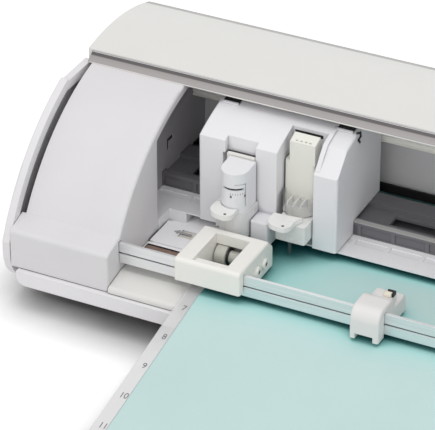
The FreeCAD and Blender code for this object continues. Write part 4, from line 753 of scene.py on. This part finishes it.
def add_pocket_shade():
    """Painted shade: a dark sheet on the back of the square tool's pocket, for the gap above the tool's
    head.
    """
    (x0, x1), (z0, z1) = pocket_shade_spans
    back = struck("carriage_cover", ((x0 + x1) / 2, contact_y, z0), (0.0, 1.0, 0.0))[0].y
    shape = bmesh.new()
    corners = [(x, back, z) for x, z in rectangle((x0, z0), (x1, z1))]
    slab(shape, corners, Vector((0, -2 * ink_lift, 0)))
    add_piece("tool_pocket_shade", shape, "dark_mark", "carriage")


def met_from_front(node, x, z):
    """Y of a node's first face as seen from the front."""
    return struck(node, (x, -far_away, z), (0.0, 1.0, 0.0))[0].y


def add_tray_fins():
    """Thin upright fins between the square tool and the front of its clear tray."""
    for index, x in enumerate(fin_places):
        front = met_from_front("right_tool_holder", x, fin_span[1]) + tray_wall
        back = met_from_front("square_tool", x, fin_span[1])
        shape = bmesh.new()
        block(shape, ((x - fin_half, x + fin_half), (front, back), fin_span), fin_round)
        add_piece("right_tray_fin_%d" % index, shape, "latch", "right_tool")


def add_carriage_hook():
    """Small dark hook on the carriage's right side."""
    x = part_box("carriage_cover")[1].x
    shape = bmesh.new()
    for (y0, z0), (y1, z1) in zip(hook_path, hook_path[1:]):
        along = Vector((0, y1 - y0, z1 - z0)).normalized() * hook_half
        across = Vector((0, -along.z, along.y))
        first, last = Vector((x, y0, z0)) - along, Vector((x, y1, z1)) + along
        corners = [first - across, last - across, last + across, first + across]
        slab(shape, corners, Vector((hook_depth, 0, 0)))
    add_piece("carriage_hook", shape, "dark_mark", "carriage")


def on_barrel(turn, height, sink):
    """Point on the round front of the blade housing, a turn to the right of its front."""
    low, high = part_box("blade_housing")
    radius = (high.x - low.x) / 2
    far = radius - sink
    angle = math.radians(turn)
    x = (low.x + high.x) / 2 + far * math.sin(angle)
    return Vector((x, low.y + radius - far * math.cos(angle), height))


def barrel_patch(shape, turns, heights, sink):
    """Thin patch that follows the blade housing's round front."""
    steps = max(2, int(abs(turns[1] - turns[0]) / patch_turn))
    rings = []
    for index in range(steps + 1):
        turn = turns[0] + (turns[1] - turns[0]) * index / steps
        outer = [on_barrel(turn, height, sink) for height in heights]
        inner = [on_barrel(turn, height, sink + 2 * ink_lift) for height in heights[::-1]]
        rings.append(outer + inner)
    loft(shape, rings)


def add_blade_marks():
    """Dark scale window, a row of ticks and two dial marks on the blade housing."""
    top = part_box("blade_housing")[1].z
    shape = bmesh.new()
    barrel_patch(shape, window_turn, [top - drop for drop in window_drop], window_sink)
    add_piece("blade_scale_window", shape, "dark_mark", "left_tool")
    shape = bmesh.new()
    for turn in tick_turns:
        turns = (turn - tick_half_turn, turn + tick_half_turn)
        barrel_patch(shape, turns, [top - drop for drop in tick_drop], -ink_lift)
    for turn in dial_turns:
        turns = (turn - dial_half_turn, turn + dial_half_turn)
        barrel_patch(shape, turns, [top - drop for drop in dial_drop], -ink_lift)
    add_piece("blade_scale_ticks", shape, "ink", "left_tool")


def add_round(name, place, axis, profile, material, body):
    """Small round piece."""
    shape = bmesh.new()
    revolved(shape, place, axis, profile)
    add_piece(name, shape, material, body)


def add_latch_pips():
    """Dark pip in the hole of each pull tab."""
    for name, (x, y) in latch_pips.items():
        place, normal = resting_on(name, x, y)
        profile = [(0.0, pip_radius), (pip_height, pip_radius), (pip_height, pip_radius * pip_taper)]
        add_round(name + "_pip", place, normal, profile, "dark_mark", name)


def add_pinch_rings():
    """Black ring beside each outer pinch wheel's tread."""
    for side, sign in (("left", -1), ("right", 1)):
        centre = middle(side + "_pinch_wheel")
        centre.x = sign * pinch_ring_x
        shape = bmesh.new()
        wire_ring(shape, centre, (1, 0, 0), pinch_ring_radius, pinch_ring_wire)
        add_piece(side + "_pinch_ring", shape, "dark_mark", side + "_pinch")


def add_contacts():
    """Four small contacts on the square tool's head."""
    shape = bmesh.new()
    for x in contact_row:
        place, normal = resting_on("square_tool", x, contact_y)
        profile = [(-contact_height, contact_radius), (contact_height, contact_radius * contact_taper)]
        revolved(shape, place, normal, profile, segments=16)
    add_piece("square_tool_contacts", shape, "contact", "right_tool")


def add_screws():
    """Cross-head screws on the underside."""
    for index, (x, y) in enumerate(screw_places):
        place = struck("base_tray", (x, y, -far_away), (0.0, 0.0, 1.0))[0]
        profile = [(-screw_sink, screw_radius), (screw_height * screw_rim, screw_radius)]
        profile.append((screw_height, screw_radius * screw_crown))
        add_round("base_screw_%d" % index, place, (0, 0, -1), profile, "screw", "base")
        shape = bmesh.new()
        level = place.z - screw_height
        for reach, half in ((cross_reach, cross_half), (cross_half, cross_reach)):
            outline = rectangle((x - reach, y - half), (x + reach, y + half))
            slab(shape, [(px, py, level) for px, py in outline], Vector((0, 0, -ink_lift)))
        add_piece("base_screw_cross_%d" % index, shape, "dark_mark", "base")


def flipped(outline):
    """Outline turned upside down."""
    return [(u, -v) for u, v in outline]


def power_arc(size, bar):
    """Outline of the open ring in the power sign."""
    turns = [math.radians(arc_start + index * arc_turn / arc_steps) for index in range(arc_steps + 1)]
    outer = [((size + bar) * math.cos(turn), (size + bar) * math.sin(turn)) for turn in turns]
    inner = [((size - bar) * math.cos(turn), (size - bar) * math.sin(turn)) for turn in turns]
    return outer + inner[::-1]


def add_button_signs():
    """Plain signs on the four buttons."""
    size = icon_size
    bar = icon_stroke / 2
    triangle = [(-size, -size * triangle_foot), (size, -size * triangle_foot), (0.0, size)]
    underline = rectangle((-size, -size), (size, -size + 2 * bar))
    left_bar = rectangle((-size * pause_offset - bar, -size), (-size * pause_offset + bar, size))
    right_bar = [(-u, v) for u, v in left_bar]
    stem = rectangle((-bar, 0.0), (bar, size * stem_reach))
    signs = {
        "power_button": (power_arc(size, bar), stem),
        "pause_button": (left_bar, right_bar),
        "load_button": (triangle, underline),
        "unload_button": (flipped(triangle), flipped(underline)),
    }
    for name, outlines in signs.items():
        centre = middle(name)
        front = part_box(name)[0].y
        shape = bmesh.new()
        for outline in outlines:
            corners = [(centre.x + u, front, centre.z + v) for u, v in outline]
            slab(shape, corners, Vector((0, -icon_height, 0)))
        add_piece(name + "_sign", shape, "dark_mark", name)


def add_home_arrow():
    """Faint travel arrow on the home pad."""
    (left, right), y = home_arrow
    level = resting_on("platform", left, y)[0].z
    head, half = home_arrow_head, home_arrow_half
    corners = [(left, y), (left + head, y - head * home_arrow_spread)]
    corners += [(left + head, y - half), (right, y - half)]
    corners += [(px, 2 * y - py) for px, py in corners[:0:-1]]
    shape = bmesh.new()
    slab(shape, [(px, py, level) for px, py in corners], Vector((0, 0, ink_lift)))
    add_piece("home_arrow", shape, "faint_mark", "base")


# Stage


def make_camera():
    """Camera at the photograph's viewing angle."""
    turn = math.radians(camera_azimuth)
    tilt = math.radians(camera_elevation)
    look = Vector((-math.sin(turn) * math.cos(tilt), math.cos(turn) * math.cos(tilt), -math.sin(tilt)))
    data = bpy.data.cameras.new("camera")
    data.sensor_fit = "HORIZONTAL"
    data.sensor_width = camera_sensor
    data.lens = camera_lens
    camera = bpy.data.objects.new("camera", data)
    camera.location = camera_place
    camera.rotation_euler = look.to_track_quat("-Z", "Y").to_euler()
    bpy.context.scene.collection.objects.link(camera)
    bpy.context.scene.camera = camera


def area_light(name, place, aim, size, power):
    """Soft box that points at a place."""
    data = bpy.data.lights.new(name, "AREA")
    data.shape = "RECTANGLE"
    data.size, data.size_y = size
    data.energy = power
    lamp = bpy.data.objects.new(name, data)
    lamp.location = place
    lamp.rotation_euler = (Vector(aim) - Vector(place)).to_track_quat("-Z", "Y").to_euler()
    bpy.context.scene.collection.objects.link(lamp)


def seen_directly(tree):
    """One for rays that show a background: from the camera, a mirror or glass."""
    path = tree.nodes.new("ShaderNodeLightPath")
    total = path.outputs["Is Camera Ray"]
    for name in ("Is Glossy Ray", "Is Transmission Ray"):
        either = tree.nodes.new("ShaderNodeMath")
        either.operation = "MAXIMUM"
        tree.links.new(total, either.inputs[0])
        tree.links.new(path.outputs[name], either.inputs[1])
        total = either.outputs[0]
    return total


def make_world():
    """Even white surround that shows as plain white."""
    world = bpy.data.worlds.new("surround")
    bpy.context.scene.world = world
    world.use_nodes = True
    tree = world.node_tree
    background = tree.nodes["Background"]
    background.inputs["Color"].default_value = (1.0, 1.0, 1.0, 1.0)
    mix = tree.nodes.new("ShaderNodeMix")
    mix.inputs["A"].default_value = world_strength
    mix.inputs["B"].default_value = backdrop_white
    tree.links.new(seen_directly(tree), mix.inputs["Factor"])
    tree.links.new(mix.outputs["Result"], background.inputs["Strength"])


def make_floor():
    """Pale floor that keeps the machine's shadow, darkens its seen colour close to the machine as a painted
    contact shadow, and otherwise shows as white.
    """
    mesh = bpy.data.meshes.new("floor")
    half = floor_size / 2
    corners = [(x, y, 0) for x, y in rectangle((-half, -half), (half, half))]
    mesh.from_pydata(corners, [], [(0, 1, 2, 3)])
    floor = bpy.data.objects.new("floor", mesh)
    bpy.context.scene.collection.objects.link(floor)
    surface = Surface("floor", (floor_pale, floor_pale, floor_pale, 1.0), floor_roughness)
    surface.mottle(amount=0.01, size=0.4)
    seen = surface.add("ShaderNodeBsdfDiffuse")
    # Painted contact shadow: ambient occlusion darkens the colour the camera sees near the machine
    painted_shadow = surface.add("ShaderNodeAmbientOcclusion")
    painted_shadow.inputs["Distance"].default_value = shadow_reach
    painted_shadow.inputs["Color"].default_value = (floor_seen, floor_seen, floor_seen, 1.0)
    surface.link(painted_shadow.outputs["Color"], seen.inputs["Color"])
    path = surface.add("ShaderNodeLightPath")
    mix = surface.add("ShaderNodeMixShader")
    surface.link(path.outputs["Is Camera Ray"], mix.inputs["Fac"])
    surface.link(surface.shader.outputs["BSDF"], mix.inputs[1])
    surface.link(seen.outputs["BSDF"], mix.inputs[2])
    surface.link(mix.outputs["Shader"], surface.tree.nodes["Material Output"].inputs["Surface"])
    mesh.materials.append(surface.material)


def make_stage():
    """Camera, floor and soft studio light."""
    bpy.context.scene.view_settings.view_transform = "Standard"
    make_camera()
    make_world()
    make_floor()
    for name, (place, aim, size, power) in soft_boxes.items():
        area_light(name, place, aim, size, power)


materials = make_materials()
dress_nodes()
add_mat_numbers()
add_mat_edge_line()
add_boss_holes()
add_hook_shades()
add_saddle_clip()
add_guide_rail()
add_handle_lip()
add_tool_ledge()
add_cheek_rib()
add_pocket_shade()
add_tray_fins()
add_carriage_hook()
add_blade_marks()
add_latch_pips()
add_pinch_rings()
add_contacts()
add_screws()
add_button_signs()
add_home_arrow()
make_stage()
